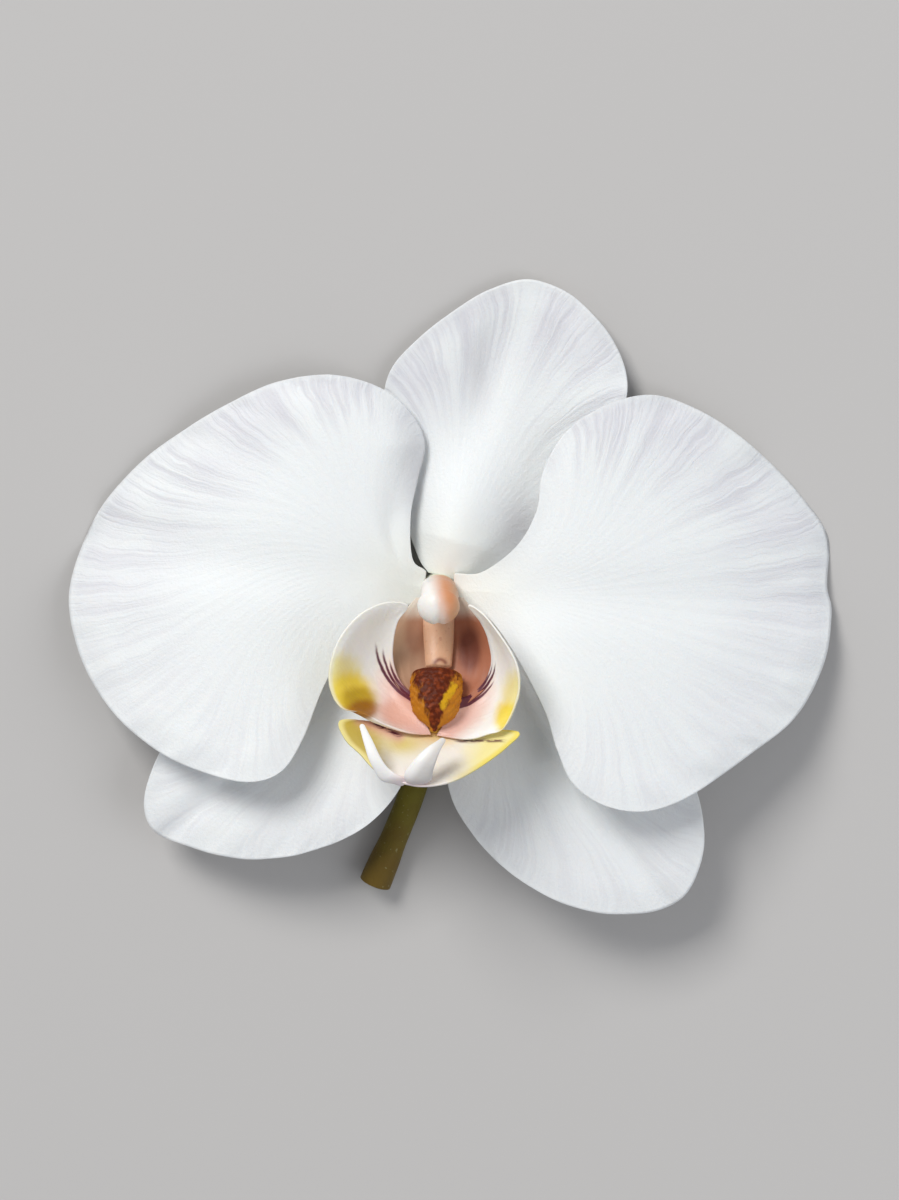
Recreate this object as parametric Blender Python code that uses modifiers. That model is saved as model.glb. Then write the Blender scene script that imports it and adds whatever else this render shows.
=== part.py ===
"""A moth orchid flower, picked with its own stalk and laid face up.

The flower is described in its own frame, in millimetres: x to its right as it is looked at,
y to its top, z out of its face, with the point where all its parts join at the middle.
An empty turns and lifts that frame into the pose in which the flower rests on a surface:
on the cut end of its stalk and on two of its blades.
"""

import math

import bmesh
import bpy
import numpy as np
from mathutils import Vector

MM = 0.001

# Sizes that everything shares, in millimetres
BLADE = 0.8
GAP = 0.3
MERGE = 0.001

# How finely things are divided: blades along and across, tubes along and around
PETAL_GRID = (11, 32)
SEPAL_GRID = (9, 26)
LOBE_GRID = (6, 16)
COLUMN_GRID = (8, 16)
FOOT_GRID = (5, 12)
FLOOR_GRID = (7, 12)
RIDGE_GRID = (6, 10)
HEART_GRID = (6, 12)
TENDRIL_GRID = (9, 8)
KNOT_STEPS = 25
AHEAD = 0.01

# The pose at rest: turns of the flower's frame in degrees, where its middle comes to lie,
# and how deep the surface presses into the soft pieces that touch it
TURN_X = -12.432
TURN_Y = -0.157
TOUCHING_HEIGHT = 7.944
PRESSED = 0.3
REST_AT = (-1.458, 1.776, TOUCHING_HEIGHT - PRESSED)
SURFACE_SIZE = (200, 200, 20)

# The stalk and the seat that the blades grow from
SEAT_RADIUS = 2.4
SEAT_PROFILE = (
    (0.0, -0.4), (SEAT_RADIUS - 0.4, -0.4), (SEAT_RADIUS, -0.8), (SEAT_RADIUS, -3.4),
    (SEAT_RADIUS - 0.5, -4.4), (1.2, -6.6), (0.0, -6.8),
)
SEAT_STEPS = 20
STALK_RADIUS = 1.75
STALK_ROUNDING = 4
STALK_PATH = (
    (0.0, 0.0, -4.2),
    (0.0, -2.6, -5.9),
    (-0.4, -8.0, -6.9),
    (-1.3, -15.5, -8.4),
    (-3.2, -25.5, -10.8),
    (-8.4, -38.5, -14.4),
)
STALK_POINTS = 15
OVARY_SWELL = 0.35
OVARY_SHARE = 0.3
FOOT_SWELL = 0.4
FOOT_SHARE = 0.08

# Outlines of the blades, from one side of the claw round the tip to the other side
PETAL_CLAW = 2.3
SEPAL_CLAW = 1.9
CLAW_DISTANCE = SEAT_RADIUS + GAP

LEFT_PETAL = (
    (-3.4, 4.2), (-3.6, 9.7), (-2.7, 14.4), (-1.8, 19.3), (-4.2, 23.6), (-8.6, 26.6), (-15.0, 27.7),
    (-22.3, 26.4), (-29.9, 22.7), (-37.0, 17.9), (-42.8, 12.2), (-46.4, 6.3), (-48.2, -0.7),
    (-46.8, -7.6), (-43.2, -14.4), (-37.2, -20.2), (-30.6, -23.4), (-24.4, -24.6), (-20.2, -23.2),
    (-17.4, -19.0), (-14.6, -12.0), (-10.6, -5.2), (-6.0, -2.0),
)
RIGHT_PETAL = (
    (5.6, 2.4), (10.1, 5.8), (12.6, 10.3), (13.4, 15.2), (16.2, 20.2), (21.4, 23.8), (27.4, 25.2),
    (33.6, 23.4), (39.8, 19.4), (45.4, 14.0), (49.6, 8.0), (50.2, 3.4), (51.0, -2.2), (49.4, -10.2),
    (45.6, -16.6), (39.8, -21.4), (33.6, -25.8), (27.4, -28.3), (21.8, -27.8), (17.4, -25.0),
    (15.2, -20.4), (13.6, -15.4), (9.6, -7.8), (5.6, -2.8),
)
DORSAL_SEPAL = (
    (-2.6, 4.4), (-4.4, 9.4), (-6.0, 15.0), (-7.1, 21.0), (-6.8, 26.8), (-4.3, 30.9), (0.6, 35.2),
    (6.4, 38.6), (11.9, 39.9), (17.0, 38.1), (21.0, 34.2), (23.6, 29.6), (24.2, 24.6), (22.2, 18.8),
    (17.6, 13.2), (11.6, 8.0), (6.0, 3.8),
)
LEFT_LATERAL_SEPAL = (
    (-5.8, -2.0), (-13.5, -4.6), (-23.0, -8.6), (-30.5, -13.8), (-35.8, -20.0), (-38.3, -26.6),
    (-37.4, -31.2), (-32.4, -33.6), (-25.4, -34.9), (-17.6, -34.2), (-10.4, -31.2), (-5.4, -26.2),
    (-3.0, -19.6), (-2.0, -12.0), (-1.6, -6.2),
)
RIGHT_LATERAL_SEPAL = (
    (1.8, -5.8), (1.4, -12.4), (0.8, -19.6), (1.5, -26.4), (4.4, -31.6), (8.6, -36.2), (13.8, -39.6),
    (19.6, -41.7), (25.4, -42.3), (30.4, -41.2), (33.2, -38.0), (34.6, -32.6), (33.6, -26.0),
    (29.6, -18.4), (22.0, -11.2), (12.8, -5.6), (5.6, -2.2),
)

# Relief of the petals: seat of the claw, lift off it, the flat stretch before they roll back, crease, waves
PETAL_SEAT = -0.9
PETAL_LIFT = 3.4
PETAL_LIFT_REACH = 7.0
PETAL_FLAT = 14.0
CREASE_DEPTH = 0.7
CREASE_WIDTH = 4.0
CREASE_START = 12.0
PETAL_WAVE = 0.7
PETAL_WAVES = 5.0

# Relief of the sepals: seat of the claw, where the cup begins, the ridge on the base, waves
SEPAL_SEAT = -2.8
SEPAL_HALF_WIDTH = 15.0
CUP_START = 0.22
CUP_SLOPE = 1.6
RIDGE_WIDTH = 0.42
RIDGE_LENGTH = 0.42
RIDGE_RISE = 6.0
SEPAL_WAVE = 0.45
SEPAL_WAVES = 2.0

# Each blade: its outline, the shares of it at which the two sides end, the direction and length
# of its midrib, how far its tip rolls back, and the rest of its relief
PETALS = {
    "petal_left": {
        "outline": LEFT_PETAL, "sides": (0.18, 0.80), "axis_deg": 172, "length": 48, "back": 9.0, "phase": 0.6,
    },
    "petal_right": {
        "outline": RIGHT_PETAL, "sides": (0.22, 0.77), "axis_deg": -2, "length": 50, "back": 9.0, "phase": 2.2,
    },
}
SEPALS = {
    "dorsal_sepal": {
        "outline": DORSAL_SEPAL, "sides": (0.20, 0.80), "axis_deg": 74, "length": 41, "back": -5.4,
        "cup": 0.8, "ridge": 1.3, "phase": 0.0,
    },
    "lateral_sepal_left": {
        "outline": LEFT_LATERAL_SEPAL, "sides": (0.24, 0.76), "axis_deg": 222, "length": 48, "back": 5.0,
        "cup": 1.0, "ridge": 0.5, "phase": 1.0,
    },
    "lateral_sepal_right": {
        "outline": RIGHT_LATERAL_SEPAL, "sides": (0.24, 0.76), "axis_deg": 306, "length": 51, "back": 5.0,
        "cup": 1.0, "ridge": 0.5, "phase": 2.0,
    },
}

# The column, its foot, and the cap over its pollen
COLUMN_PATH = ((0.0, 0.1, -0.1), (0.0, 0.2, 2.0), (0.1, -0.2, 4.4), (0.2, -1.0, 6.6), (0.3, -1.9, 8.2))
COLUMN_RADII = (2.5, 2.15, 2.15, 2.4, 2.0)
COLUMN_FLATNESS = 0.82
FOOT_PATH = ((0.0, -0.6, 1.4), (0.0, -3.6, 1.3), (0.0, -6.4, 1.5), (0.0, -8.9, 2.2))
FOOT_RADII = (1.7, 1.75, 1.7, 1.5)
FOOT_FLATNESS = 0.55
CAP_RADII = (2.45, 2.3, 2.0)
CAP_WALL = 0.6
CAP_SIDES = 20
CAP_TURN = 30.0
POLLEN_RADII = (0.5, 0.575, 0.475)
POLLEN_APART = 0.62
POLLEN_STALK = (POLLEN_APART, 0.3, 0.25)
POLLEN_HEIGHT = 0.8
POLLEN_SIDES = 12
STIGMA_AT = (0.2, -2.9, 6.0)
STIGMA_RADII = (1.2, 0.9, 1.3)

# The lip: its floor, the two side lobes, the middle lobe with its two tendrils, and the callus
FLOOR_PATH = ((0.0, -9.4, 2.5), (0.0, -11.5, 3.3), (-0.4, -13.8, 5.0), (-0.9, -16.4, 7.0))
FLOOR_RADII = (1.5, 2.2, 2.9, 3.4)
FLOOR_FLATNESS = 0.28
MIDDLE_CLAW = ((-4.0, -15.2, 7.0), (-0.9, -16.0, 6.8), (2.6, -15.6, 7.0))
MIDDLE_BELLY = (
    (-5.0, -15.6, 7.2), (-7.5, -17.6, 8.2), (-5.0, -20.5, 9.0), (-1.4, -21.5, 9.2), (2.2, -20.6, 9.0),
    (5.0, -18.4, 8.2), (3.6, -16.2, 7.2),
)
MIDDLE_OUTLINE = (
    (-5.4, -15.2, 6.9), (-8.8, -15.4, 6.9), (-12.6, -16.6, 7.4), (-11.9, -18.9, 8.6), (-9.9, -20.9, 10.0),
    (-8.2, -22.8, 11.2), (-5.8, -24.3, 12.6), (-2.4, -25.2, 13.6), (0.8, -24.8, 13.2), (3.4, -23.6, 12.2),
    (6.4, -21.6, 10.6), (8.9, -19.7, 9.0), (10.3, -18.2, 7.8), (7.0, -16.6, 7.0), (3.8, -15.7, 6.9),
)
LEFT_LOBE_CLAW = ((-1.6, -10.2, 3.0), (-2.6, -12.9, 4.8), (-3.6, -15.6, 6.8))
LEFT_LOBE_BELLY = (
    (-2.6, -9.6, 2.8), (-5.2, -8.6, 2.8), (-7.4, -8.8, 3.2), (-8.6, -10.8, 4.4), (-8.0, -13.4, 6.2),
    (-5.4, -15.2, 7.0),
)
LEFT_LOBE_OUTLINE = (
    (-2.6, -9.4, 3.1), (-3.2, -6.6, 3.6), (-3.7, -4.0, 5.2), (-4.0, -2.0, 7.4), (-6.4, -1.6, 9.2),
    (-9.6, -3.0, 10.2), (-12.4, -6.0, 10.6), (-13.7, -9.4, 10.2), (-13.6, -12.2, 9.6),
    (-12.2, -14.2, 9.2), (-9.4, -15.2, 8.8), (-6.4, -15.6, 8.0), (-4.4, -15.8, 7.2),
)
RIGHT_LOBE_CLAW = ((1.6, -10.2, 3.0), (2.1, -13.0, 4.8), (2.6, -15.8, 6.8))
RIGHT_LOBE_BELLY = (
    (2.6, -9.6, 2.8), (5.2, -8.6, 2.8), (6.8, -9.0, 3.4), (7.6, -11.0, 4.8), (6.8, -13.8, 6.4),
    (4.2, -15.4, 7.0),
)
RIGHT_LOBE_OUTLINE = (
    (2.6, -9.4, 3.1), (3.3, -6.6, 3.6), (3.7, -4.0, 5.0), (3.8, -1.9, 7.2), (5.4, -2.6, 9.2),
    (7.8, -5.6, 10.4), (9.8, -9.0, 10.6), (10.3, -12.0, 10.2), (9.6, -14.8, 9.6), (7.8, -17.0, 9.0),
    (5.2, -16.8, 8.2), (3.2, -16.0, 7.2),
)
CALLUS_PATHS = (
    ((-0.8, -16.6, 7.7), (-1.6, -13.7, 6.7), (-2.9, -10.9, 6.0)),
    ((-0.8, -16.6, 7.7), (0.4, -13.7, 6.7), (2.0, -10.9, 6.0)),
)
CALLUS_RADII = (0.9, 1.35, 1.0)
CALLUS_FLATNESS = 0.9
CALLUS_HEART = ((-0.8, -16.0, 6.9), (-0.6, -13.4, 6.1), (-0.4, -11.2, 5.0))
HEART_RADII = (0.9, 1.7, 1.5)
HEART_FLATNESS = 0.8
TENDRIL_PATHS = (
    ((-5.0, -23.9, 12.3), (-7.4, -23.6, 13.6), (-8.6, -21.8, 14.4), (-9.2, -19.4, 14.0), (-9.6, -17.4, 13.0)),
    ((-2.6, -24.8, 13.2), (-2.8, -24.2, 14.6), (-1.9, -22.2, 15.4), (-0.6, -20.2, 15.2), (0.8, -18.6, 14.4)),
)
TENDRIL_RADII = (0.75, 0.8, 0.7, 0.55, 0.35)
TENDRIL_FLATNESS = 0.7


def through(knots, share):
    """Points of a smooth curve through the knots, at the given shares of its length."""
    knots = np.asarray(knots, float)
    padded = np.vstack([2 * knots[0] - knots[1], knots, 2 * knots[-1] - knots[-2]])
    step = np.linspace(0, 1, KNOT_STEPS)[:, None]
    runs = []
    for a, b, c, d in zip(padded[:-3], padded[1:-2], padded[2:-1], padded[3:]):
        runs.append(
            0.5 * (2 * b + (c - a) * step + (2 * a - 5 * b + 4 * c - d) * step**2
                   + (3 * b - a - 3 * c + d) * step**3)
        )
    curve = np.vstack(runs)
    length = np.concatenate([[0], np.cumsum(np.linalg.norm(np.diff(curve, axis=0), axis=1))])
    wanted = np.asarray(share) * length[-1]
    return np.stack([np.interp(wanted, length, curve[:, i]) for i in range(curve.shape[1])], axis=-1)


def fan(s, t, claw, belly, outline):
    """A lobe as a fan of veins: each leaves the claw, bends by the belly and ends on the outline.

    s runs from 0 at the claw to 1 on the outline, t from 0 on one side to 1 on the other.
    """
    start = through(claw, t)
    bend = through(belly, t)
    end = through(outline, t)
    s = s[..., None]
    return (1 - s) ** 2 * start + 2 * s * (1 - s) * bend + s**2 * end


def claw_of(outline, axis_deg, claw_half):
    """The two ends of a blade's claw, square to its axis, the first on the side where its outline begins."""
    axis = np.array([math.cos(math.radians(axis_deg)), math.sin(math.radians(axis_deg))])
    side = np.array([-axis[1], axis[0]]) * claw_half
    middle = axis * CLAW_DISTANCE
    first = np.sign(np.dot(np.asarray(outline[0]) - middle, side))
    return middle + side * first, middle - side * first


def patch(s, t, claw, outline, sides):
    """A flat blade between four edges: claw at s = 0, margin at s = 1, its sides at t = 0 and t = 1.

    Each point is the blend along s, plus the blend along t, less the blend of the corners.
    """
    edge = (claw[0], *outline, claw[1])
    near = through(claw, t)
    far = through(edge, sides[0] + t * (sides[1] - sides[0]))
    one_side = through(edge, s * sides[0])
    other_side = through(edge, 1 - s * (1 - sides[1]))
    shoulders = through(edge, sides)
    s, t = s[..., None], t[..., None]
    corners = (1 - s) * ((1 - t) * claw[0] + t * claw[1]) + s * ((1 - t) * shoulders[0] + t * shoulders[1])
    return (1 - s) * near + s * far + (1 - t) * one_side + t * other_side - corners


def collection(name):
    made = bpy.data.collections.new(name)
    bpy.context.scene.collection.children.link(made)
    return made


def material(name, colour, roughness):
    made = bpy.data.materials.new(name)
    made.use_nodes = True
    shader = made.node_tree.nodes["Principled BSDF"]
    shader.inputs["Base Color"].default_value = (*colour, 1)
    shader.inputs["Roughness"].default_value = roughness
    shader.inputs["Metallic"].default_value = 0.0
    return made


def object_of(name, bm, group, look=None):
    """An object of the mesh, whose millimetres become metres, in the flower's frame."""
    bmesh.ops.scale(bm, vec=(MM, MM, MM), verts=bm.verts)
    mesh = bpy.data.meshes.new(name)
    bm.to_mesh(mesh)
    bm.free()
    mesh.shade_smooth()
    made = bpy.data.objects.new(name, mesh)
    group.objects.link(made)
    if look:
        mesh.materials.append(look)
    return made


def grid(cells, place):
    """A square grid of side 1 whose vertices go where place(s, t) says, both 0 to 1."""
    bm = bmesh.new()
    bmesh.ops.create_grid(bm, x_segments=cells[0], y_segments=cells[1], size=0.5)
    flat = np.array([vertex.co[:2] for vertex in bm.verts]) + 0.5
    points = place(flat[:, 0], flat[:, 1])
    for vertex, point in zip(bm.verts, points):
        vertex.co = Vector(point)
    return bm


def sheet(name, cells, place, group, look=None, thickness=BLADE):
    """An open surface thickened to a blade, its faces split alike on both sides."""
    bm = grid(cells, place)
    bmesh.ops.triangulate(bm, faces=bm.faces)
    made = object_of(name, bm, group, look)
    solid = made.modifiers.new("thickness", "SOLIDIFY")
    solid.thickness = thickness * MM
    solid.offset = 0
    return made


def swept(name, path, radii, flatness, cells, group, look=None):
    """A closed body along a path in the plane x = 0 or near it, wider in x than it is thick."""
    path, radii = np.asarray(path, float), np.asarray(radii, float)

    def place(s, t):
        spine = through(path, s)
        ahead = through(path, np.minimum(s + AHEAD, 1)) - through(path, np.maximum(s - AHEAD, 0))
        ahead /= np.linalg.norm(ahead, axis=1, keepdims=True)
        right = np.array([1.0, 0.0, 0.0]) - ahead * ahead[:, :1]
        right /= np.linalg.norm(right, axis=1, keepdims=True)
        up = np.cross(ahead, right)
        radius = through(radii[:, None], s)
        angle = 2 * math.pi * t[:, None]
        return spine + radius * (np.cos(angle) * right + flatness * np.sin(angle) * up)

    bm = grid(cells, place)
    bmesh.ops.remove_doubles(bm, verts=bm.verts, dist=MERGE)
    bmesh.ops.holes_fill(bm, edges=[edge for edge in bm.edges if edge.is_boundary])
    bmesh.ops.recalc_face_normals(bm, faces=bm.faces)
    return object_of(name, bm, group, look)


def ball(name, middle, radii, group, look=None, sides=16, turned=0.0):
    """An ellipsoid, its z axis turned about x by the given angle."""
    bm = bmesh.new()
    bmesh.ops.create_uvsphere(bm, u_segments=sides, v_segments=sides // 2, radius=1)
    bmesh.ops.scale(bm, vec=radii, verts=bm.verts)
    made = object_of(name, bm, group, look)
    made.location = Vector(middle) * MM
    made.rotation_euler.x = turned
    return made


def baked(body):
    """The object with its modifiers applied, as a mesh of its own in the same place."""
    bpy.context.view_layer.update()
    seen = body.evaluated_get(bpy.context.evaluated_depsgraph_get())
    mesh = bpy.data.meshes.new_from_object(seen)
    group, name, place = body.users_collection[0], body.name, body.matrix_world.copy()
    bm = bmesh.new()
    bm.from_mesh(mesh)
    bmesh.ops.remove_doubles(bm, verts=bm.verts, dist=MERGE * MM)
    bm.transform(place)
    bm.to_mesh(mesh)
    bm.free()
    bpy.data.objects.remove(body)
    made = bpy.data.objects.new(name, mesh)
    made.data.name = name
    group.objects.link(made)
    return made


def joined(body, others, operation="UNION"):
    """The body with the others fused into it, or cut out of it."""
    for other in others:
        cut = body.modifiers.new(operation.lower(), "BOOLEAN")
        cut.operation = operation
        cut.object = other
        body = baked(body)
        bpy.data.objects.remove(other)
    return body


def height_of_petal(x, y, axis_deg, length, back, phase):
    """A petal lifts off its claw, then rolls back, with a crease on its midrib and a waved edge."""
    reach = np.hypot(x, y)
    angle = np.arctan2(y, x) - math.radians(axis_deg)
    angle = (angle + math.pi) % (2 * math.pi) - math.pi
    along, across = reach * np.cos(angle), reach * np.sin(angle)
    lift = PETAL_LIFT * (1 - np.exp(-(reach - CLAW_DISTANCE) / PETAL_LIFT_REACH))
    roll = -back * (np.maximum(along - PETAL_FLAT, 0) / (length - PETAL_FLAT)) ** 2
    crease = -CREASE_DEPTH * np.exp(-((across / CREASE_WIDTH) ** 2)) * (1 - np.exp(-reach / CREASE_START))
    wave = PETAL_WAVE * np.sin(PETAL_WAVES * angle + phase) * (reach / length) ** 3
    return PETAL_SEAT + lift + roll + crease + wave


def height_of_sepal(x, y, axis_deg, length, back, cup, ridge, phase):
    """A sepal has a ridge along its base, a shallow cup further out and a tip that bends."""
    axis = math.radians(axis_deg)
    along = (x * math.cos(axis) + y * math.sin(axis)) / length
    across = (y * math.cos(axis) - x * math.sin(axis)) / SEPAL_HALF_WIDTH
    cupped = cup * across**2 * np.clip((along - CUP_START) * CUP_SLOPE, 0, 1)
    base = np.exp(-((along / RIDGE_LENGTH) ** 4)) * np.clip(along * RIDGE_RISE, 0, 1)
    ridged = ridge * np.exp(-((across / RIDGE_WIDTH) ** 2)) * base
    bend = -back * np.clip(along, 0, None) ** 2
    wave = SEPAL_WAVE * np.sin(2 * math.pi * SEPAL_WAVES * along + phase) * across**2 * along
    return SEPAL_SEAT + cupped + ridged + bend + wave


def make_blade(name, cells, claw_half, height, group, look, outline, sides, axis_deg, **relief):
    """A petal or sepal: its outline seen from the front, lifted by its relief."""
    claw = claw_of(outline, axis_deg, claw_half)

    def place(s, t):
        flat = patch(s, t, claw, outline, sides)
        return np.column_stack([flat, height(flat[:, 0], flat[:, 1], axis_deg, **relief)])

    return sheet(name, cells, place, group, look)


def make_stalk(group, look):
    """The ovary and its stalk, one tube that swells at both ends, under a turned seat."""
    curve = bpy.data.curves.new("stalk", "CURVE")
    curve.dimensions = "3D"
    curve.bevel_depth = STALK_RADIUS * MM
    curve.bevel_resolution = STALK_ROUNDING
    curve.use_fill_caps = True
    spline = curve.splines.new("POLY")
    share = np.linspace(0, 1, STALK_POINTS)
    spline.points.add(STALK_POINTS - 1)
    for point, at, place in zip(spline.points, share, through(STALK_PATH, share)):
        swell = OVARY_SWELL * math.exp(-((at / OVARY_SHARE) ** 2))
        swell += FOOT_SWELL * math.exp(-(((1 - at) / FOOT_SHARE) ** 2))
        point.co = (*(place * MM), 1)
        point.radius = 1 + swell / STALK_RADIUS
    made = bpy.data.objects.new("pedicel", curve)
    group.objects.link(made)
    made = baked(made)
    seat = bmesh.new()
    corners = [seat.verts.new((across, 0, height)) for across, height in SEAT_PROFILE]
    for a, b in zip(corners, corners[1:]):
        seat.edges.new((a, b))
    turned = object_of("seat", seat, group)
    screw = turned.modifiers.new("turn", "SCREW")
    screw.axis = "Z"
    screw.steps = screw.render_steps = SEAT_STEPS
    screw.use_merge_vertices = True
    screw.merge_threshold = MERGE * MM
    made = joined(made, [baked(turned)])
    made.data.materials.append(look)
    made.data.shade_smooth()
    return made


def make_column(group, look):
    """The column, a rod hollowed under its tip, with the foot that carries the lip."""
    body = swept("column", COLUMN_PATH, COLUMN_RADII, COLUMN_FLATNESS, COLUMN_GRID, group, look)
    foot = swept("foot", FOOT_PATH, FOOT_RADII, FOOT_FLATNESS, FOOT_GRID, group)
    stigma = ball("stigma", STIGMA_AT, STIGMA_RADII, group, turned=math.radians(CAP_TURN))
    return joined(joined(body, [foot]), [stigma], "DIFFERENCE")


def on_tip(height):
    """A point over the middle of the column's tip."""
    turn = math.radians(CAP_TURN)
    across, front, up = COLUMN_PATH[-1]
    return across, front - height * math.sin(turn), up + height * math.cos(turn)


def make_cap(group, look):
    """The anther cap: half a hollow egg, open to the column's tip."""
    bm = bmesh.new()
    bmesh.ops.create_uvsphere(bm, u_segments=CAP_SIDES, v_segments=CAP_SIDES // 2, radius=1)
    bmesh.ops.bisect_plane(
        bm, geom=bm.verts[:] + bm.edges[:] + bm.faces[:], plane_co=(0, 0, 0), plane_no=(0, 0, 1),
        clear_inner=True,
    )
    bmesh.ops.scale(bm, vec=CAP_RADII, verts=bm.verts)
    made = object_of("anther_cap", bm, group, look)
    wall = made.modifiers.new("wall", "SOLIDIFY")
    wall.thickness = CAP_WALL * MM
    wall.offset = -1
    made.location = Vector(on_tip(GAP)) * MM
    made.rotation_euler.x = math.radians(CAP_TURN)
    return made


def make_pollen(group, look):
    """Two balls of pollen on the short stalk between them, under the cap."""
    across, front, up = on_tip(GAP + POLLEN_HEIGHT)
    balls = [
        ball("pollinarium", (across + side * POLLEN_APART, front, up), POLLEN_RADII, group, look, POLLEN_SIDES)
        for side in (-1, 1)
    ]
    stalk = ball("pollen_stalk", (across, front, up), POLLEN_STALK, group, sides=POLLEN_SIDES)
    return joined(balls[0], [balls[1], stalk])


def make_lip(group, look):
    """The lip as one body: floor, side lobes, middle lobe, callus and tendrils."""

    def lobe(name, claw, belly, outline):
        return sheet(name, LOBE_GRID, lambda s, t: fan(s, t, claw, belly, outline), group, look)

    body = swept("lip", FLOOR_PATH, FLOOR_RADII, FLOOR_FLATNESS, FLOOR_GRID, group, look)
    rest = [
        lobe("middle_lobe", MIDDLE_CLAW, MIDDLE_BELLY, MIDDLE_OUTLINE),
        lobe("left_lobe", LEFT_LOBE_CLAW, LEFT_LOBE_BELLY, LEFT_LOBE_OUTLINE),
        lobe("right_lobe", RIGHT_LOBE_CLAW, RIGHT_LOBE_BELLY, RIGHT_LOBE_OUTLINE),
    ]
    for path in CALLUS_PATHS:
        rest.append(swept("ridge", path, CALLUS_RADII, CALLUS_FLATNESS, RIDGE_GRID, group))
    rest.append(swept("heart", CALLUS_HEART, HEART_RADII, HEART_FLATNESS, HEART_GRID, group))
    for path in TENDRIL_PATHS:
        rest.append(swept("tendril", path, TENDRIL_RADII, TENDRIL_FLATNESS, TENDRIL_GRID, group))
    return joined(body, rest)


def lay_down(flower):
    """Every piece hangs on one empty, which turns and lifts the flower's frame into its pose at rest."""
    frame = bpy.data.objects.new("flower_frame", None)
    bpy.context.scene.collection.objects.link(frame)
    for piece in flower.objects:
        piece.parent = frame
    frame.rotation_euler = (math.radians(TURN_X), math.radians(TURN_Y), 0)
    frame.location = Vector(REST_AT) * MM


def press_flat(touching, group):
    """The soft pieces that touch the surface are pressed flat by it, a fraction of a millimetre deep."""
    bm = bmesh.new()
    bmesh.ops.create_cube(bm, size=1)
    bmesh.ops.scale(bm, vec=SURFACE_SIZE, verts=bm.verts)
    surface = object_of("surface", bm, group)
    surface.location.z = -SURFACE_SIZE[2] / 2 * MM
    surface.hide_render = True
    surface.display_type = "WIRE"
    for piece in touching:
        cut = piece.modifiers.new("pressed", "BOOLEAN")
        cut.operation = "DIFFERENCE"
        cut.object = surface


def main():
    for thing in list(bpy.data.objects):
        bpy.data.objects.remove(thing)
    flower = collection("orchid_flower")
    white = material("petal_white", (0.9, 0.9, 0.88), 0.5)
    ivory = material("sepal_white", (0.88, 0.88, 0.84), 0.5)
    green = material("stalk_green", (0.2, 0.24, 0.06), 0.5)
    yellow = material("lip_colours", (0.85, 0.62, 0.12), 0.45)
    cream = material("column_white", (0.9, 0.88, 0.84), 0.4)
    pink = material("cap_pink", (0.85, 0.62, 0.55), 0.45)
    wax = material("pollen_wax", (0.9, 0.62, 0.08), 0.35)
    petals = [
        make_blade(name, PETAL_GRID, PETAL_CLAW, height_of_petal, flower, white, **shape)
        for name, shape in PETALS.items()
    ]
    for name, shape in SEPALS.items():
        make_blade(name, SEPAL_GRID, SEPAL_CLAW, height_of_sepal, flower, ivory, **shape)
    stalk = make_stalk(flower, green)
    make_column(flower, cream)
    make_cap(flower, pink)
    make_pollen(flower, wax)
    make_lip(flower, yellow)
    lay_down(flower)
    press_flat((*petals, stalk), collection("cutters"))


main()
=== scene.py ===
# %% [markdown]
# # A moth orchid flower, picked and laid face up
# Three sepals stand behind two broad petals. In the middle are a lip with three lobes and a
# column with a cap on its tip. All of it is thin curved sheets and soft tubes. A sheet or a
# tube is a function of two parameters, so each piece here is worked out on a grid with numpy.

import math

import bpy
import numpy as np
from mathutils import Euler, Matrix, Vector


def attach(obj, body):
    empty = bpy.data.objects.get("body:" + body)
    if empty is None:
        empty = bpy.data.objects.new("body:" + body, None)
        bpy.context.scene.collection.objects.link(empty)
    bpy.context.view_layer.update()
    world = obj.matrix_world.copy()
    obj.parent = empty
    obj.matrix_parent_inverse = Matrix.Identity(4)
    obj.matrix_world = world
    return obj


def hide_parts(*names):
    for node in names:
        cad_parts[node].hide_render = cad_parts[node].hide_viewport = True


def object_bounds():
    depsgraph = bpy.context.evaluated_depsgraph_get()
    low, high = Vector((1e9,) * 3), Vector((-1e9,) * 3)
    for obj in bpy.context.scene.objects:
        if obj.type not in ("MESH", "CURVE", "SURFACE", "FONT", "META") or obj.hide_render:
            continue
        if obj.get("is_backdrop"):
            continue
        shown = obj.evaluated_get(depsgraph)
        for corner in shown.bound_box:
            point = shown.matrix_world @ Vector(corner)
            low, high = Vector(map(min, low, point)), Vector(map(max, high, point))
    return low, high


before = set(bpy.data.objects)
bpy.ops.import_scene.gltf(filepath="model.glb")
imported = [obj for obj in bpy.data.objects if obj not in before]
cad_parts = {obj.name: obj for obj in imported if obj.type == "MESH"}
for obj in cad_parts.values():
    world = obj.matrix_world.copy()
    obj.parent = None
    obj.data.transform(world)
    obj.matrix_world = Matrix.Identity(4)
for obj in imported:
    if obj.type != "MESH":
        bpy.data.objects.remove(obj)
cad_box = [list(corner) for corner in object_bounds()]
print("nodes in the frame:", ", ".join(sorted(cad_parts)))


# %% [markdown]
# ## The flower's own frame
# A flower is easiest to describe as it looks at you: x to its right, y to its top, z out of its
# face, in millimetres from the point where all its parts join. The picked flower lies tilted on
# the end of its stalk and on two petals. One turn and one shift carry every point there, so the
# objects themselves stay unturned at the origin.

# %% From the flower's frame to the world
MM = 0.001
TURN_X = math.radians(-12.432)
TURN_Y = math.radians(-0.157)
REST_AT = np.array([-1.458, 1.776, 7.644])
TURN = np.array(Euler((TURN_X, TURN_Y, 0.0)).to_matrix())


def to_world(points):
    """Flower millimetres to world metres: turn, shift, and nothing below the surface it lies on."""
    world = points @ TURN.T + REST_AT
    world[..., 2] = np.maximum(world[..., 2], 0.0)
    return world * MM


print("the flower faces", np.round(TURN[:, 2], 3))


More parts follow.
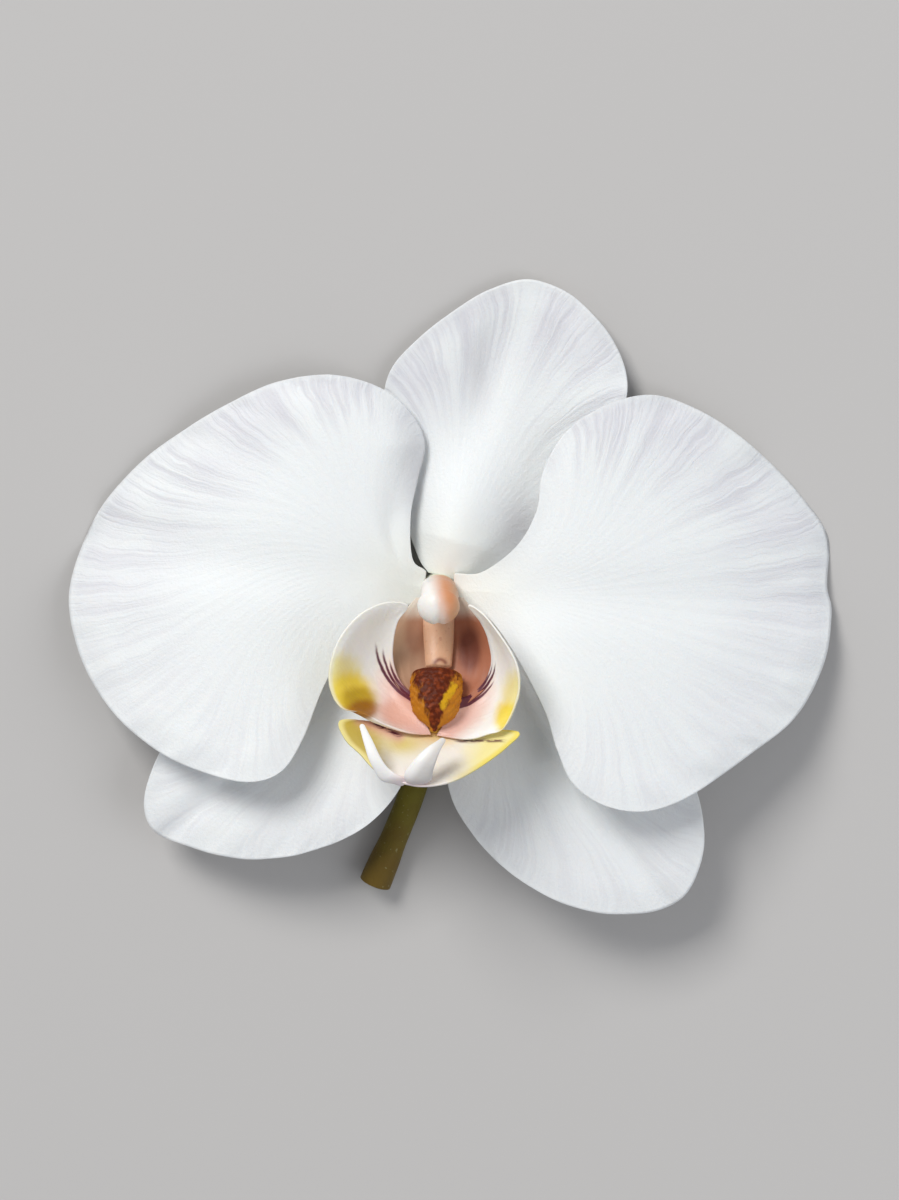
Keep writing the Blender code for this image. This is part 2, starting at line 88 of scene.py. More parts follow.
# %% [markdown]
# ## A smooth curve through a few points
# Outlines and tubes are given by a handful of points read off the flower. A Catmull-Rom spline
# goes through all of them. A Bezier curve would need handles, and a plain polyline would show
# its corners. Asking for shares of its length spaces the grid evenly.

# %% Curves
KNOT_STEPS = 40


def through(knots, share):
    """Points at shares of the length of a Catmull-Rom curve through the knots."""
    knots = np.asarray(knots, float)
    padded = np.vstack([2 * knots[0] - knots[1], knots, 2 * knots[-1] - knots[-2]])
    a, b, c, d = (padded[i:len(padded) - 3 + i, None] for i in range(4))
    step = np.linspace(0, 1, KNOT_STEPS)[None, :, None]
    runs = 0.5 * (2 * b + (c - a) * step + (2 * a - 5 * b + 4 * c - d) * step**2
                  + (3 * b - a - 3 * c + d) * step**3)
    curve = runs.reshape(-1, knots.shape[1])
    length = np.concatenate([[0], np.cumsum(np.linalg.norm(np.diff(curve, axis=0), axis=1))])
    wanted = np.asarray(share) * length[-1]
    return np.stack([np.interp(wanted, length, curve[:, i]) for i in range(knots.shape[1])], axis=-1)


def eased(x, low, high):
    """0 below low, 1 above high, and 3x^2 - 2x^3 of the way between them."""
    x = np.clip((x - low) / (high - low), 0, 1)
    return x * x * (3 - 2 * x)


def hill(x, middle, width):
    """A bell: exp(-((x - middle) / width)^2)."""
    return np.exp(-(((x - middle) / width) ** 2))


print("halfway along a bent line:", through(((0, 0), (1, 0), (1, 1)), 0.5))


# %% [markdown]
# ## One skin for sheets and tubes
# A petal has a front, a back and a rim, and a tube has a wall and two ends. Both are rows of
# points that close on themselves, joined row to row, with a strip over each end row. Building
# the skin this way leaves no open edge, which Solidify would also do, but here the thickness
# can change from the fleshy claw to the paper-thin margin.

# %% Closed skins
COORDINATES = "place"
made = {}


def put(name, data):
    """An object that holds the data, unturned at the origin."""
    thing = bpy.data.objects.new(name, data)
    bpy.context.scene.collection.objects.link(thing)
    return thing


def outwards(points, faces):
    """The faces turned so that the volume they enclose, a sum of tetrahedra, is positive."""
    a, b, c, d = (points[faces[:, i]] for i in range(4))
    volume = np.sum(np.cross(b, c) * a) + np.sum(np.cross(c, d) * a)
    return faces if volume > 0 else faces[:, ::-1]


def skin(name, rings, place, look, node, slot):
    """A closed mesh from rows that each close on themselves: wall faces join (i, j), (i, j + 1),
    (i + 1, j + 1) and (i + 1, j), and end faces join column j to column n - 1 - j."""
    rows, columns = rings.shape[:2]
    index = np.arange(rows * columns).reshape(rows, columns)
    after = np.roll(index, -1, axis=1)
    walls = np.stack([index[:-1], after[:-1], after[1:], index[1:]], axis=-1).reshape(-1, 4)
    j = np.arange(columns // 2 - 1)
    strip = np.stack([j + 1, j, columns - 1 - j, columns - 2 - j], axis=-1)
    faces = np.vstack([walls, index[0][strip], index[-1][strip[:, ::-1]]])
    points = to_world(rings.reshape(-1, 3))
    mesh = bpy.data.meshes.new(name)
    mesh.from_pydata(points, [], outwards(points, faces).tolist())
    attribute = mesh.attributes.new(COORDINATES, "FLOAT_VECTOR", "POINT")
    attribute.data.foreach_set("vector", place.ravel())
    mesh.shade_smooth()
    mesh.materials.append(look)
    piece = put(name, mesh)
    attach(piece, "root")
    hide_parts(node)
    made[name] = 2 * len(faces)
    print(name, "has", made[name], "triangles")


# %% [markdown]
# ## Sheets
# A lobe of the lip is a fan of veins: each leaves the narrow claw, bends, and ends on the
# outline. A petal is wider than its claw by ten times, and such a fan would fold over itself at
# the sides, so petals and sepals are patches between four edges. In both, one set of grid lines
# runs along the veins, and relief and colour follow them. The front and the back lie half the
# thickness off the middle surface, along its normal.

# %% Sheets
def fan(s, t, claw, belly, outline):
    """Each vein t is a quadratic curve in s: (1 - s)^2 claw + 2s(1 - s) belly + s^2 outline."""
    start, bend, end = through(claw, t), through(belly, t), through(outline, t)
    s = s[..., None]
    return (1 - s) ** 2 * start + 2 * s * (1 - s) * bend + s**2 * end


def patch(s, t, claw, outline, sides):
    """A patch between the claw at s = 0, the margin at s = 1 and the two sides at t = 0 and 1:
    the blend of claw and margin, plus the blend of the sides, less the blend of the corners."""
    edge = (claw[0], *outline, claw[1])
    near = through(claw, t)
    far = through(edge, sides[0] + t * (sides[1] - sides[0]))
    one_side = through(edge, s * sides[0])
    other_side = through(edge, 1 - s * (1 - sides[1]))
    shoulders = through(edge, sides)
    s, t = s[..., None], t[..., None]
    at_claw, at_margin = ((1 - t) * pair[0] + t * pair[1] for pair in (claw, shoulders))
    corners = (1 - s) * at_claw + s * at_margin
    return (1 - s) * near + s * far + (1 - t) * one_side + t * other_side - corners


def unit(vectors):
    """Each vector divided by its own length."""
    return vectors / np.linalg.norm(vectors, axis=-1, keepdims=True)


def grid(cells):
    """Two arrays from 0 to 1: the first grows from row to row, the second along each row."""
    return np.meshgrid(np.linspace(0, 1, cells[0]), np.linspace(0, 1, cells[1]), indexing="ij")


LEAN = 0.12


def sheet_rings(middle, before, behind, facing, across, along):
    """Rows that run across the front of a sheet and back across its back: middle + before *
    normal and middle - behind * normal. The normal is the cross product of the unit tangents,
    leant a little to the facing, which steadies it where the grid lines nearly run together.

    The second array holds, for each point, its place across the veins, its place along them,
    and 0 in front or 1 behind.
    """
    normal = np.cross(unit(np.gradient(middle, axis=0)), unit(np.gradient(middle, axis=1)))
    normal = unit(normal * np.sign(np.sum(normal * facing)) + LEAN * facing)
    front = middle + normal * before[..., None]
    back = middle - normal * behind[..., None]
    rings = np.concatenate([front, back[:, ::-1]], axis=1)
    place = np.stack([across, along, np.zeros_like(along)], axis=-1)
    return rings, np.concatenate([place, (place + (0, 0, 1))[:, ::-1]], axis=1)


print("the unit vector along (3, 4) is", unit(np.array([3.0, 4.0])))


# %% [markdown]
# ## Tubes
# The stalk, the column and the tendrils are profiles carried along a path. The ring at each
# share of the path lies square to it, and rings that shrink past the ends close them, flat for
# a cut and round for a tip.

# %% Tubes
AHEAD = 0.01
VALUE_GAP = 100.0
END_ROWS = 10
END_TURN = 0.985 * math.pi / 2
END_MARK = 0.1


def evenly(values, share):
    """A smooth curve through values that are spaced evenly over the shares from 0 to 1, by gaps
    so wide that the values' own steps hardly add to its length."""
    values = np.asarray(values, float)
    return through(np.stack([np.arange(len(values)) * VALUE_GAP, values], axis=1), share)[..., 1]


def tube_rings(path, radius, flatness, cells, bulge, shape=None):
    """Rings on a path: spine + radius * (cos(angle) * right + flatness * sin(angle) * up), where
    right is the x axis made square to the path and up is square to both.

    Past each end the ring shrinks as a quarter circle while it moves on by the bulge, so that a
    bulge of one radius gives a round end and 0 a flat one. shape(share, angle) scales the radius.
    The second array holds angle / full turn, share, and 0; share runs on to 1.1 over the end.
    """
    over = np.sin(np.linspace(0, END_TURN, END_ROWS + 1)[1:])
    still = np.zeros(cells[0] - 2 * END_ROWS)
    share = np.concatenate([np.zeros(END_ROWS), np.linspace(0, 1, len(still)), np.ones(END_ROWS)])
    beyond = np.concatenate([-over[::-1], still, over])
    after, before = np.minimum(share + AHEAD, 1), np.maximum(share - AHEAD, 0)
    ahead = unit(through(path, after) - through(path, before))
    spine = through(path, share) + ahead * (beyond * np.where(beyond < 0, *bulge))[:, None]
    right = unit(np.array([1.0, 0.0, 0.0]) - ahead * ahead[:, :1])
    up = np.cross(ahead, right)
    angle = np.linspace(0, 2 * math.pi, cells[1], endpoint=False)
    share_grid, angle_grid = np.meshgrid(share, angle, indexing="ij")
    size = (evenly(radius, share) * np.sqrt(1 - beyond**2))[:, None]
    if shape:
        size = size * shape(share_grid, angle_grid)
    cos, sin = np.cos(angle)[None, :, None], np.sin(angle)[None, :, None]
    rings = spine[:, None] + size[..., None] * (cos * right[:, None] + flatness * sin * up[:, None])
    mark = share_grid + END_MARK * beyond[:, None]
    return rings, np.stack([angle_grid / (2 * math.pi), mark, np.zeros_like(mark)], axis=-1)


print("halfway between radii of 1, 3 and 2:", np.round(evenly((1, 3, 2), (0.25, 0.75)), 2))


# %% [markdown]
# ## Shader arithmetic
# A finish here is a formula over the surface: veins, stripes, spots and blushes of colour. Node
# trees are hard to read as lists of links, so a small class lets the formula be written as
# Python. Colours go through Mix nodes, because a Math node would turn them grey. A finish starts
# with one ground colour, and each later one covers it as far as a mask from 0 to 1 says.

# %% Numbers that vary over a surface
class Number:
    """A socket that carries a number. Arithmetic on it adds Math nodes to its tree."""

    def __init__(self, look, socket):
        self.look = look
        self.socket = socket

    def __add__(self, other):
        return self.look.math("ADD", self, other)

    def __sub__(self, other):
        return self.look.math("SUBTRACT", self, other)

    def __rsub__(self, other):
        return self.look.math("SUBTRACT", other, self)

    def __mul__(self, other):
        return self.look.math("MULTIPLY", self, other)

    def __truediv__(self, other):
        return self.look.math("DIVIDE", self, other)

    def __pow__(self, other):
        return self.look.math("POWER", self, other)

    def __neg__(self):
        return self * -1.0

    __radd__ = __add__
    __rmul__ = __mul__


# %% Looks
FLOWER_FROM_WORLD = Matrix(TURN.T.tolist()).to_euler()
FLOWER_SHIFT = tuple(-(TURN.T @ REST_AT))


class Look:
    """A material whose colour, roughness and bump are formulas over the surface."""

    def __init__(self, name, ground, glow, glow_radius, glow_mm, shine=0.5):
        """ground is the colour under all others. glow is the share of light that goes through
        the tissue, glow_radius and glow_mm say how far its red, green and blue get."""
        self.material = bpy.data.materials.new(name)
        self.material.use_nodes = True
        self.nodes = self.material.node_tree.nodes
        self.shader = self.nodes["Principled BSDF"]
        for socket, value in (
            ("IOR", 1.4), ("Specular IOR Level", shine), ("Subsurface Weight", glow),
            ("Subsurface Radius", glow_radius), ("Subsurface Scale", glow_mm * MM),
        ):
            self.shader.inputs[socket].default_value = value
        objects = self.node("ShaderNodeTexCoord").outputs["Object"]
        self.flower = self.node(
            "ShaderNodeMapping", inputs={"Vector": objects, "Scale": (1 / MM,) * 3,
                                         "Rotation": FLOWER_FROM_WORLD, "Location": FLOWER_SHIFT},
        ).outputs["Vector"]
        self.x, self.y, self.z = self.parts(self.flower)
        place = self.node("ShaderNodeAttribute", {"attribute_name": COORDINATES}).outputs["Vector"]
        self.t, self.s, self.back = self.parts(place)
        self.colour = ground

    def node(self, kind, settings=None, inputs=None):
        """Any node: its settings are set first, then its sockets get values or links."""
        node = self.nodes.new(kind)
        for name, value in (settings or {}).items():
            setattr(node, name, value)
        for name, value in (inputs or {}).items():
            self.feed(node.inputs[name], value)
        return node

    def feed(self, socket, value):
        """Link a socket or a Number to the socket, or set a plain value on it."""
        value = value.socket if isinstance(value, Number) else value
        if isinstance(value, bpy.types.NodeSocket):
            self.material.node_tree.links.new(value, socket)
        else:
            socket.default_value = value

    def math(self, operation, *values):
        """A Math node on Numbers and plain values."""
        node = self.node("ShaderNodeMath", {"operation": operation}, dict(enumerate(values)))
        return Number(self, node.outputs[0])

    def parts(self, vector):
        """The three Numbers of a vector."""
        split = self.node("ShaderNodeSeparateXYZ", inputs={"Vector": vector})
        return [Number(self, split.outputs[axis]) for axis in "XYZ"]

    def vector(self, x, y, z=0.0):
        """A vector of three Numbers or plain values."""
        return self.node("ShaderNodeCombineXYZ", inputs={"X": x, "Y": y, "Z": z}).outputs["Vector"]

    def step(self, number, low, high):
        """0 at low, 1 at high, smooth between them."""
        node = self.node(
            "ShaderNodeMapRange", {"interpolation_type": "SMOOTHSTEP"},
            {"Value": number, "From Min": low, "From Max": high},
        )
        return Number(self, node.outputs["Result"])

    def bell(self, number, middle, width):
        """exp(-((number - middle) / width)^2)"""
        off = (number - middle) / width
        return self.math("EXPONENT", -(off * off))

    def spot(self, x, y, wide, high):
        """A soft round spot at (x, y) of the flower's face."""
        across, up = (self.x - x) / wide, (self.y - y) / high
        return self.math("EXPONENT", -(across * across + up * up))

    def noise(self, scale, detail=2.0, roughness=0.5, vector=None):
        """Clouds from 0 to 1 in the flower's frame, or over another vector."""
        node = self.node(
            "ShaderNodeTexNoise", {"noise_dimensions": "3D"},
            {"Vector": self.flower if vector is None else vector,
             "Scale": scale, "Detail": detail, "Roughness": roughness},
        )
        return Number(self, node.outputs["Fac"])

    def larger(self, a, b):
        """Whichever of two is larger."""
        return self.math("MAXIMUM", a, b)

    def mix(self, share, under, over):
        """The colour under, covered by the colour over as far as share says."""
        node = self.node("ShaderNodeMix", {"data_type": "RGBA"})
        sockets = [socket for socket in node.inputs if socket.enabled]
        for socket, value in zip(sockets, (share, under, over)):
            self.feed(socket, (*value, 1.0) if isinstance(value, tuple) else value)
        return [socket for socket in node.outputs if socket.enabled][0]

    def cover(self, share, colour):
        """Cover the colour so far by another, as far as share says."""
        self.colour = self.mix(share, self.colour, colour)

    def dab(self, strength, colour, *place):
        """Cover it in a soft round spot."""
        self.cover(self.spot(*place) * strength, colour)

    def finish(self, bump, height_mm, roughness):
        """Feed the colour, the roughness and a bump that is height_mm high to the shader."""
        self.feed(self.shader.inputs["Base Color"], self.colour)
        self.feed(self.shader.inputs["Roughness"], roughness)
        relief = self.node("ShaderNodeBump", inputs={"Height": bump, "Distance": height_mm * MM})
        self.feed(self.shader.inputs["Normal"], relief.outputs["Normal"])
        print("finish", self.material.name, "has", len(self.nodes), "nodes")
        return self.material

    def grained(self, scale, detail, height_mm, roughness, spread):
        """Finish with a fine grain, which also makes the roughness vary by the spread."""
        grain = self.noise(scale, detail)
        return self.finish(grain, height_mm, roughness + grain * spread)


# %% [markdown]
# ## The white of petals and sepals
# The tissue is white because air between its cells scatters light. It glows a little where
# light comes through. Faint lilac-grey veins fan out to the margin, the margin itself is a
# thread paler, and the surface glitters finely, cell by cell. The backs of the sepals keep some
# green and a brownish midrib, from when they were the outside of the bud.

# %% Petal and sepal finishes
WHITE = (0.87, 0.895, 0.895)
MARGIN = (0.78, 0.785, 0.82)
VEIN = (0.62, 0.615, 0.665)
CLAW_TINT = (0.87, 0.88, 0.79)
BACK_GREEN = (0.70, 0.72, 0.50)
BACK_PINK = (0.82, 0.70, 0.70)
KEEL = (0.42, 0.36, 0.17)
ROLLED_SHADE = (0.56, 0.56, 0.585)
TROUGH_SHADE = (0.68, 0.68, 0.70)
PETAL_GLOW = {"glow": 0.35, "glow_radius": (1.0, 0.85, 0.75), "glow_mm": 1.2}
PETAL_VEINS = 44
SEPAL_VEINS = 30


def blade_finish(name, veins, keeled, shades):
    """White with grey-lilac streaks along the veins near the margin, where t counts the veins
    and s runs from the claw to the margin, and a green or pink back. shades lists spots of
    painted shade where the blade rolls back or dips away from the light, as
    (colour, x, y, wide, high)."""
    look = Look(name, WHITE, **PETAL_GLOW)
    drift = look.noise(0.07)
    warp = look.noise(0.22) - 0.5
    along = look.t * veins + warp * 0.5
    broad = look.noise(1.1, vector=look.vector(along, look.s * 1.3))
    narrow = look.noise(1.0, 3.0, 0.6, look.vector(along * 4.0, look.s * 2.0))
    outer = look.step(look.s, 0.60, 0.92)
    middle = look.step(look.s, 0.15, 0.55)
    upper = look.step(look.y, -14.0, 8.0) * 0.6 + 0.4
    margin = outer * look.step(drift + broad * 0.5, 0.55, 0.85)
    look.cover(margin * upper * 0.8, MARGIN)
    streaks = look.step(narrow * 0.8 + broad * 0.5, 0.56, 0.84) * upper
    look.cover(streaks * (middle * 0.07 + outer * 0.48), VEIN)
    look.cover(look.step(look.s, 0.972, 0.996) * 0.5, WHITE)
    look.cover(look.bell(look.s, 0.0, 0.16) * 0.5, CLAW_TINT)
    # Painted shade: grey spots where the blade rolls back or dips away from the light.
    for colour, *place in shades:
        look.dab(0.75, colour, *place)
    if keeled:
        behind = look.step(look.back, 0.4, 0.6)
        green = look.bell(look.s, 0.0, 0.55) * 0.75
        pink = look.step(look.noise(0.12), 0.4, 0.7) * look.step(look.s, 0.3, 0.9) * 0.5
        keel = look.bell(look.t, 0.5, 0.014) * look.step(look.s, 1.0, 0.72)
        look.cover(behind * pink, BACK_PINK)
        look.cover(behind * green, BACK_GREEN)
        look.cover(behind * keel * 0.85, KEEL)
    cells = look.noise(2.6, 3.0, 0.65)
    crepe = look.noise(1.6, 3.0, 0.6, look.vector(along * 4.0, look.s * 7.0))
    bump = cells * 0.8 + crepe * 0.4 * middle - streaks * outer * 0.7
    return look.finish(bump, 0.09, 0.42 + cells * 0.16)


petal_white = blade_finish(
    "petal_white", PETAL_VEINS, False, ((ROLLED_SHADE, -2.6, 15.5, 2.6, 7.0),)
)
# Painted shade on the right flank of the upper sepal's ridge and in its trough.
sepal_white = blade_finish(
    "sepal_white", SEPAL_VEINS, True,
    ((ROLLED_SHADE, 10.6, 7.6, 3.0, 4.6), (TROUGH_SHADE, 5.4, 28.0, 1.7, 5.5)),
)


# %% [markdown]
# ## The petals
# The two petals are the widest pieces, broad fans on a narrow claw. Seen from the front each is
# an outline, and its relief is a height over that outline: it lifts off the claw, creases along
# the midrib, rolls back towards the margin and ripples along it. Veins stand up by a few
# hundredths of a millimetre, enough to catch the light.

# %% Petal outlines
PETAL_CLAW = 2.3
SEPAL_CLAW = 1.9
CLAW_DISTANCE = 2.0

LEFT_PETAL_AXIS = 172
LEFT_PETAL_LENGTH = 48
LEFT_PETAL = (
    (-3.4, 4.2), (-3.6, 9.7), (-2.7, 14.4), (-1.8, 19.3), (-4.2, 23.6), (-8.6, 26.6), (-15.0, 27.7),
    (-22.3, 26.4), (-29.9, 22.7), (-37.0, 17.9), (-42.8, 12.2), (-46.4, 6.3), (-48.2, -0.7),
    (-46.8, -7.6), (-43.2, -14.4), (-37.2, -20.2), (-30.6, -23.4), (-24.4, -24.6), (-20.2, -23.2),
    (-17.4, -19.0), (-14.6, -12.0), (-10.6, -5.2), (-6.0, -2.0),
)
RIGHT_PETAL = (
    (5.6, 2.4), (10.1, 5.8), (12.6, 10.3), (13.4, 15.2), (16.2, 20.2), (21.4, 23.8), (27.4, 25.2),
    (33.6, 23.4), (39.8, 19.4), (45.5, 14.0), (49.8, 8.8), (51.0, 5.6), (50.7, 0.7),
    (51.3, -3.0), (49.8, -10.2), (46.0, -16.8), (39.9, -21.6), (33.6, -25.8), (27.4, -28.3),
    (21.8, -27.8), (17.4, -25.0), (15.2, -20.4), (13.6, -15.4), (9.6, -7.8), (5.6, -2.8),
)


def claw_of(outline, axis_deg, claw_half):
    """The two ends of the claw, square to the axis, the first on the side where the outline
    begins."""
    axis = np.array([math.cos(math.radians(axis_deg)), math.sin(math.radians(axis_deg))])
    side = np.array([-axis[1], axis[0]]) * claw_half
    middle = axis * CLAW_DISTANCE
    first = np.sign(np.dot(np.asarray(outline[0]) - middle, side))
    return middle + side * first, middle - side * first


left_claw = claw_of(LEFT_PETAL, LEFT_PETAL_AXIS, PETAL_CLAW)
print("the left petal's claw lies at", np.round(left_claw, 1).tolist())


# %% Veins
MARGIN_SAMPLES = 361
SOFT_MM = 0.9
FALLOFF = -1.25


def distance_to(line, points, nearest):
    """How far points are from the two stretches of a line that meet in its nearest corner."""
    found = []
    for step in (-1, 1):
        start, run = line[nearest], line[np.clip(nearest + step, 0, len(line) - 1)] - line[nearest]
        share = np.sum((points - start) * run, axis=-1) / np.maximum(np.sum(run * run, axis=-1), 1e-9)
        foot = start + np.clip(share, 0, 1)[..., None] * run
        found.append(np.linalg.norm(points - foot, axis=-1))
    return np.minimum(*found)


def veins_of(flat, edge, length):
    """Which vein each point lies on, how far along it, and how far from the margin in mm.

    The number of a vein is the share of the margin where it ends. Elsewhere it is the average of
    all shares, each weighted by (distance^2 + 0.9^2)^-1.25, so that the veins meet the margin
    squarely and bend together towards the claw. It is stretched so that the midrib is 0.5.
    """
    share = np.linspace(0, 1, MARGIN_SAMPLES)
    margin = through(edge, share)
    away = np.linalg.norm(flat[..., None, :] - margin, axis=-1)
    weight = (away**2 + SOFT_MM**2) ** FALLOFF
    number = (weight * share).sum(axis=-1) / weight.sum(axis=-1)
    midrib = share[np.argmax(np.hypot(margin[:, 0], margin[:, 1]))]
    below, above = 0.5 * number / midrib, 1 - 0.5 * (1 - number) / (1 - midrib)
    inside = distance_to(margin, flat, away.argmin(axis=-1))
    reach = np.hypot(flat[..., 0], flat[..., 1])
    along = reach / (reach + inside) * eased(reach / length, 0.05, 0.62)
    return np.where(number < midrib, below, above), along, inside


left_edge = (left_claw[0], *LEFT_PETAL, left_claw[1])
found = veins_of(np.array([[-30.0, 10.0]]), left_edge, LEFT_PETAL_LENGTH)
print("vein, way along it and mm to the margin at (-30, 10):", np.round(found, 2).ravel())


# %% Relief that petals and sepals share
RUFFLE_MM = 0.40
CALM_MM = 7.0
EDGE_MM = 0.22
RIB_MM = 0.018
PLEAT_MM = 0.06


def wave(turns, phase=0.0):
    """The sine of so many turns, started at a phase."""
    return np.sin(2 * math.pi * turns + phase)


def ribs(s, t, count):
    """Veins as low ridges: cos(count turns of t) raised to a power, with finer ones between
    them towards the margin."""
    wander = 0.2 * wave(2.3 * t + 0.6 * s) + 0.1 * wave(5.1 * t - 1.3 * s)
    main = (0.5 + 0.5 * np.cos(2 * math.pi * (count * t + wander))) ** 2
    fine = (0.5 + 0.5 * np.cos(2 * math.pi * (3 * count * t + 3 * wander))) ** 2
    return eased(s, 0.1, 0.4) * (main + 0.8 * fine * eased(s, 0.35, 0.8))


def pleats(s, t, count, phase):
    """Soft radial folds of uneven strength that grow with the fourth power of the distance."""
    uneven = 0.5 + 0.5 * wave(2.3 * t, phase)
    slow = wave(0.3 * count * t + 0.5 * np.sin(5 * t + phase), phase)
    quick = wave(0.8 * count * t + 0.3 * np.sin(11 * t), 2 * phase)
    return uneven * (slow + 0.5 * quick) * s**4


def ruffles(s, t, phase):
    """Waves of the margin that die out quickly inwards, as s to the eighth power."""
    waves = 0.6 * wave(5.3 * t, phase) + 0.3 * wave(11.9 * t, 2 * phase)
    folds = 0.14 * wave(26.0 * t, 3 * phase) * (0.5 + 0.5 * np.sin(9 * t + phase))
    return (waves + folds) * s**8


def ripple_of_outline(flat, s, t, phase):
    """The outline swells and nicks by a fraction of a millimetre, outwards from the claw."""
    swell = 0.5 * wave(3.1 * t, phase) + 0.12 * wave(9.7 * t, -phase)
    return unit(flat) * (EDGE_MM * swell * s**8)[..., None]


def calm_near(flat, corners):
    """0 on the corners of a patch and 1 from CALM_MM away. The outline runs straight on there,
    from a side of the patch into its margin, so waves that follow its grid would crumple."""
    away = np.linalg.norm(flat[..., None, :] - corners, axis=-1).min(axis=-1)
    return eased(away, 0, CALM_MM)


ruffled = RUFFLE_MM * np.abs(ruffles(*grid((60, 60)), 0.6)).max()
print("the margin ruffles by up to", round(float(ruffled), 2), "mm")


# %% Petal relief
PETAL_SEAT = -0.9
CLAW_OPENS = 2.7
PETAL_LIFT = 3.4
PETAL_LIFT_REACH = 7.0
PETAL_FLAT = 14.0
CREASE_DEPTH = 0.7
CREASE_WIDTH = 4.0
CREASE_START = 12.0
PETAL_WAVE = 0.7
PETAL_WAVES = 5.0
SHOULDER_AT = 0.12
SHOULDER_REACH = 0.065
SHOULDER_MM = 7.0


def height_of_petal(x, y, axis_deg, length, back, phase):
    """Lift 1 - exp(-distance), a roll back by the square of the distance, a bell-shaped crease
    on the midrib, and a sine wave round the claw that grows with the cube of the distance."""
    reach = np.hypot(x, y)
    angle = np.arctan2(y, x) - math.radians(axis_deg)
    angle = (angle + math.pi) % (2 * math.pi) - math.pi
    along, across = reach * np.cos(angle), reach * np.sin(angle)
    lift = PETAL_LIFT * (1 - np.exp(-(reach - CLAW_OPENS) / PETAL_LIFT_REACH))
    roll = -back * (np.maximum(along - PETAL_FLAT, 0) / (length - PETAL_FLAT)) ** 2
    crease = -CREASE_DEPTH * hill(across, 0, CREASE_WIDTH) * (1 - np.exp(-reach / CREASE_START))
    waves = PETAL_WAVE * np.sin(PETAL_WAVES * angle + phase) * (reach / length) ** 3
    return PETAL_SEAT + lift + roll + crease + waves


tip = height_of_petal(-48.2, -0.7, LEFT_PETAL_AXIS, LEFT_PETAL_LENGTH, back=9.0, phase=0.6)
print("the left petal's tip lies", round(float(tip), 1), "mm from the plane of the joint")


# %% Blades and their thickness
PETAL_CELLS = (150, 230)
SEPAL_CELLS = (130, 180)
MID_MM = 0.7
CLAW_MM = 0.6
TAPER_MM = 4.0
KEEL_WIDTH = 0.022
KEEL_FADES = (0.35, 0.95)
SHOULDER_STARTS = (5, 12)


def blade_thickness(s, inside):
    """Thin at the margin, thicker from TAPER_MM inwards and fleshy by a bell at the claw."""
    return EDGE_MM + (MID_MM - EDGE_MM) * eased(inside, 0, TAPER_MM) + CLAW_MM * hill(s, 0, 0.1)


def blade(name, outline, sides, axis_deg, length, form, shoulder=0.0, **relief):
    """A petal or sepal: the patch of its outline, lifted by its height, ruffles, pleats and ribs.
    A shoulder rolls back by so many mm beside the inner end of the outline."""
    claw = claw_of(outline, axis_deg, form["claw_half"])
    edge = (claw[0], *outline, claw[1])
    veins, phase = form["veins"], relief["phase"]
    s, t = grid(form["cells"])
    flat = patch(s, t, claw, outline, sides)
    vein, along, inside = veins_of(flat, edge, length)
    calm = calm_near(flat, through(edge, sides))
    flat = flat + ripple_of_outline(flat, s, t, phase) * calm[..., None]
    x, y = flat[..., 0], flat[..., 1]
    z = form["height"](x, y, axis_deg, length, **relief)
    waves = RUFFLE_MM * ruffles(s, t, phase) * calm + PLEAT_MM * pleats(along, vein, veins, phase)
    z = z + form["ruffle"] * waves + RIB_MM * ribs(along, vein, veins)
    rolled = hill(vein, SHOULDER_AT, SHOULDER_REACH) * np.clip(1 - inside / SHOULDER_MM, 0, 1) ** 2
    z = z - shoulder * rolled * eased(np.hypot(x, y), *SHOULDER_STARTS)
    half = blade_thickness(s, inside) / 2
    keel = form["keel"] * hill(vein, 0.5, KEEL_WIDTH) * (1 - eased(s, *KEEL_FADES))
    middle = np.stack([x, y, z], axis=-1)
    rings, place = sheet_rings(middle, half, half + keel, np.array([0, 0, 1.0]), vein, along)
    skin(name + "_blade", rings, place, form["look"], name, form["slot"])


PETAL_FORM = {
    "claw_half": PETAL_CLAW, "cells": PETAL_CELLS, "height": height_of_petal,
    "ruffle": 1.0, "veins": PETAL_VEINS, "keel": 0.0, "look": petal_white, "slot": "petal_white",
}
blade(
    "petal_left", LEFT_PETAL, (0.18, 0.80), LEFT_PETAL_AXIS, LEFT_PETAL_LENGTH, PETAL_FORM,
    shoulder=2.6, back=9.0, phase=0.6,
)
blade("petal_right", RIGHT_PETAL, (0.22, 0.77), -2, 50, PETAL_FORM, back=9.0, phase=2.2)


# %% [markdown]
# ## The sepals
# The sepals closed the bud before it opened. They are narrower, thicker and more evenly veined,
# with a cup across them, a raised ridge at the narrow base in front and a keel behind. The two
# lower ones stand behind the petals, which hide their inner halves.

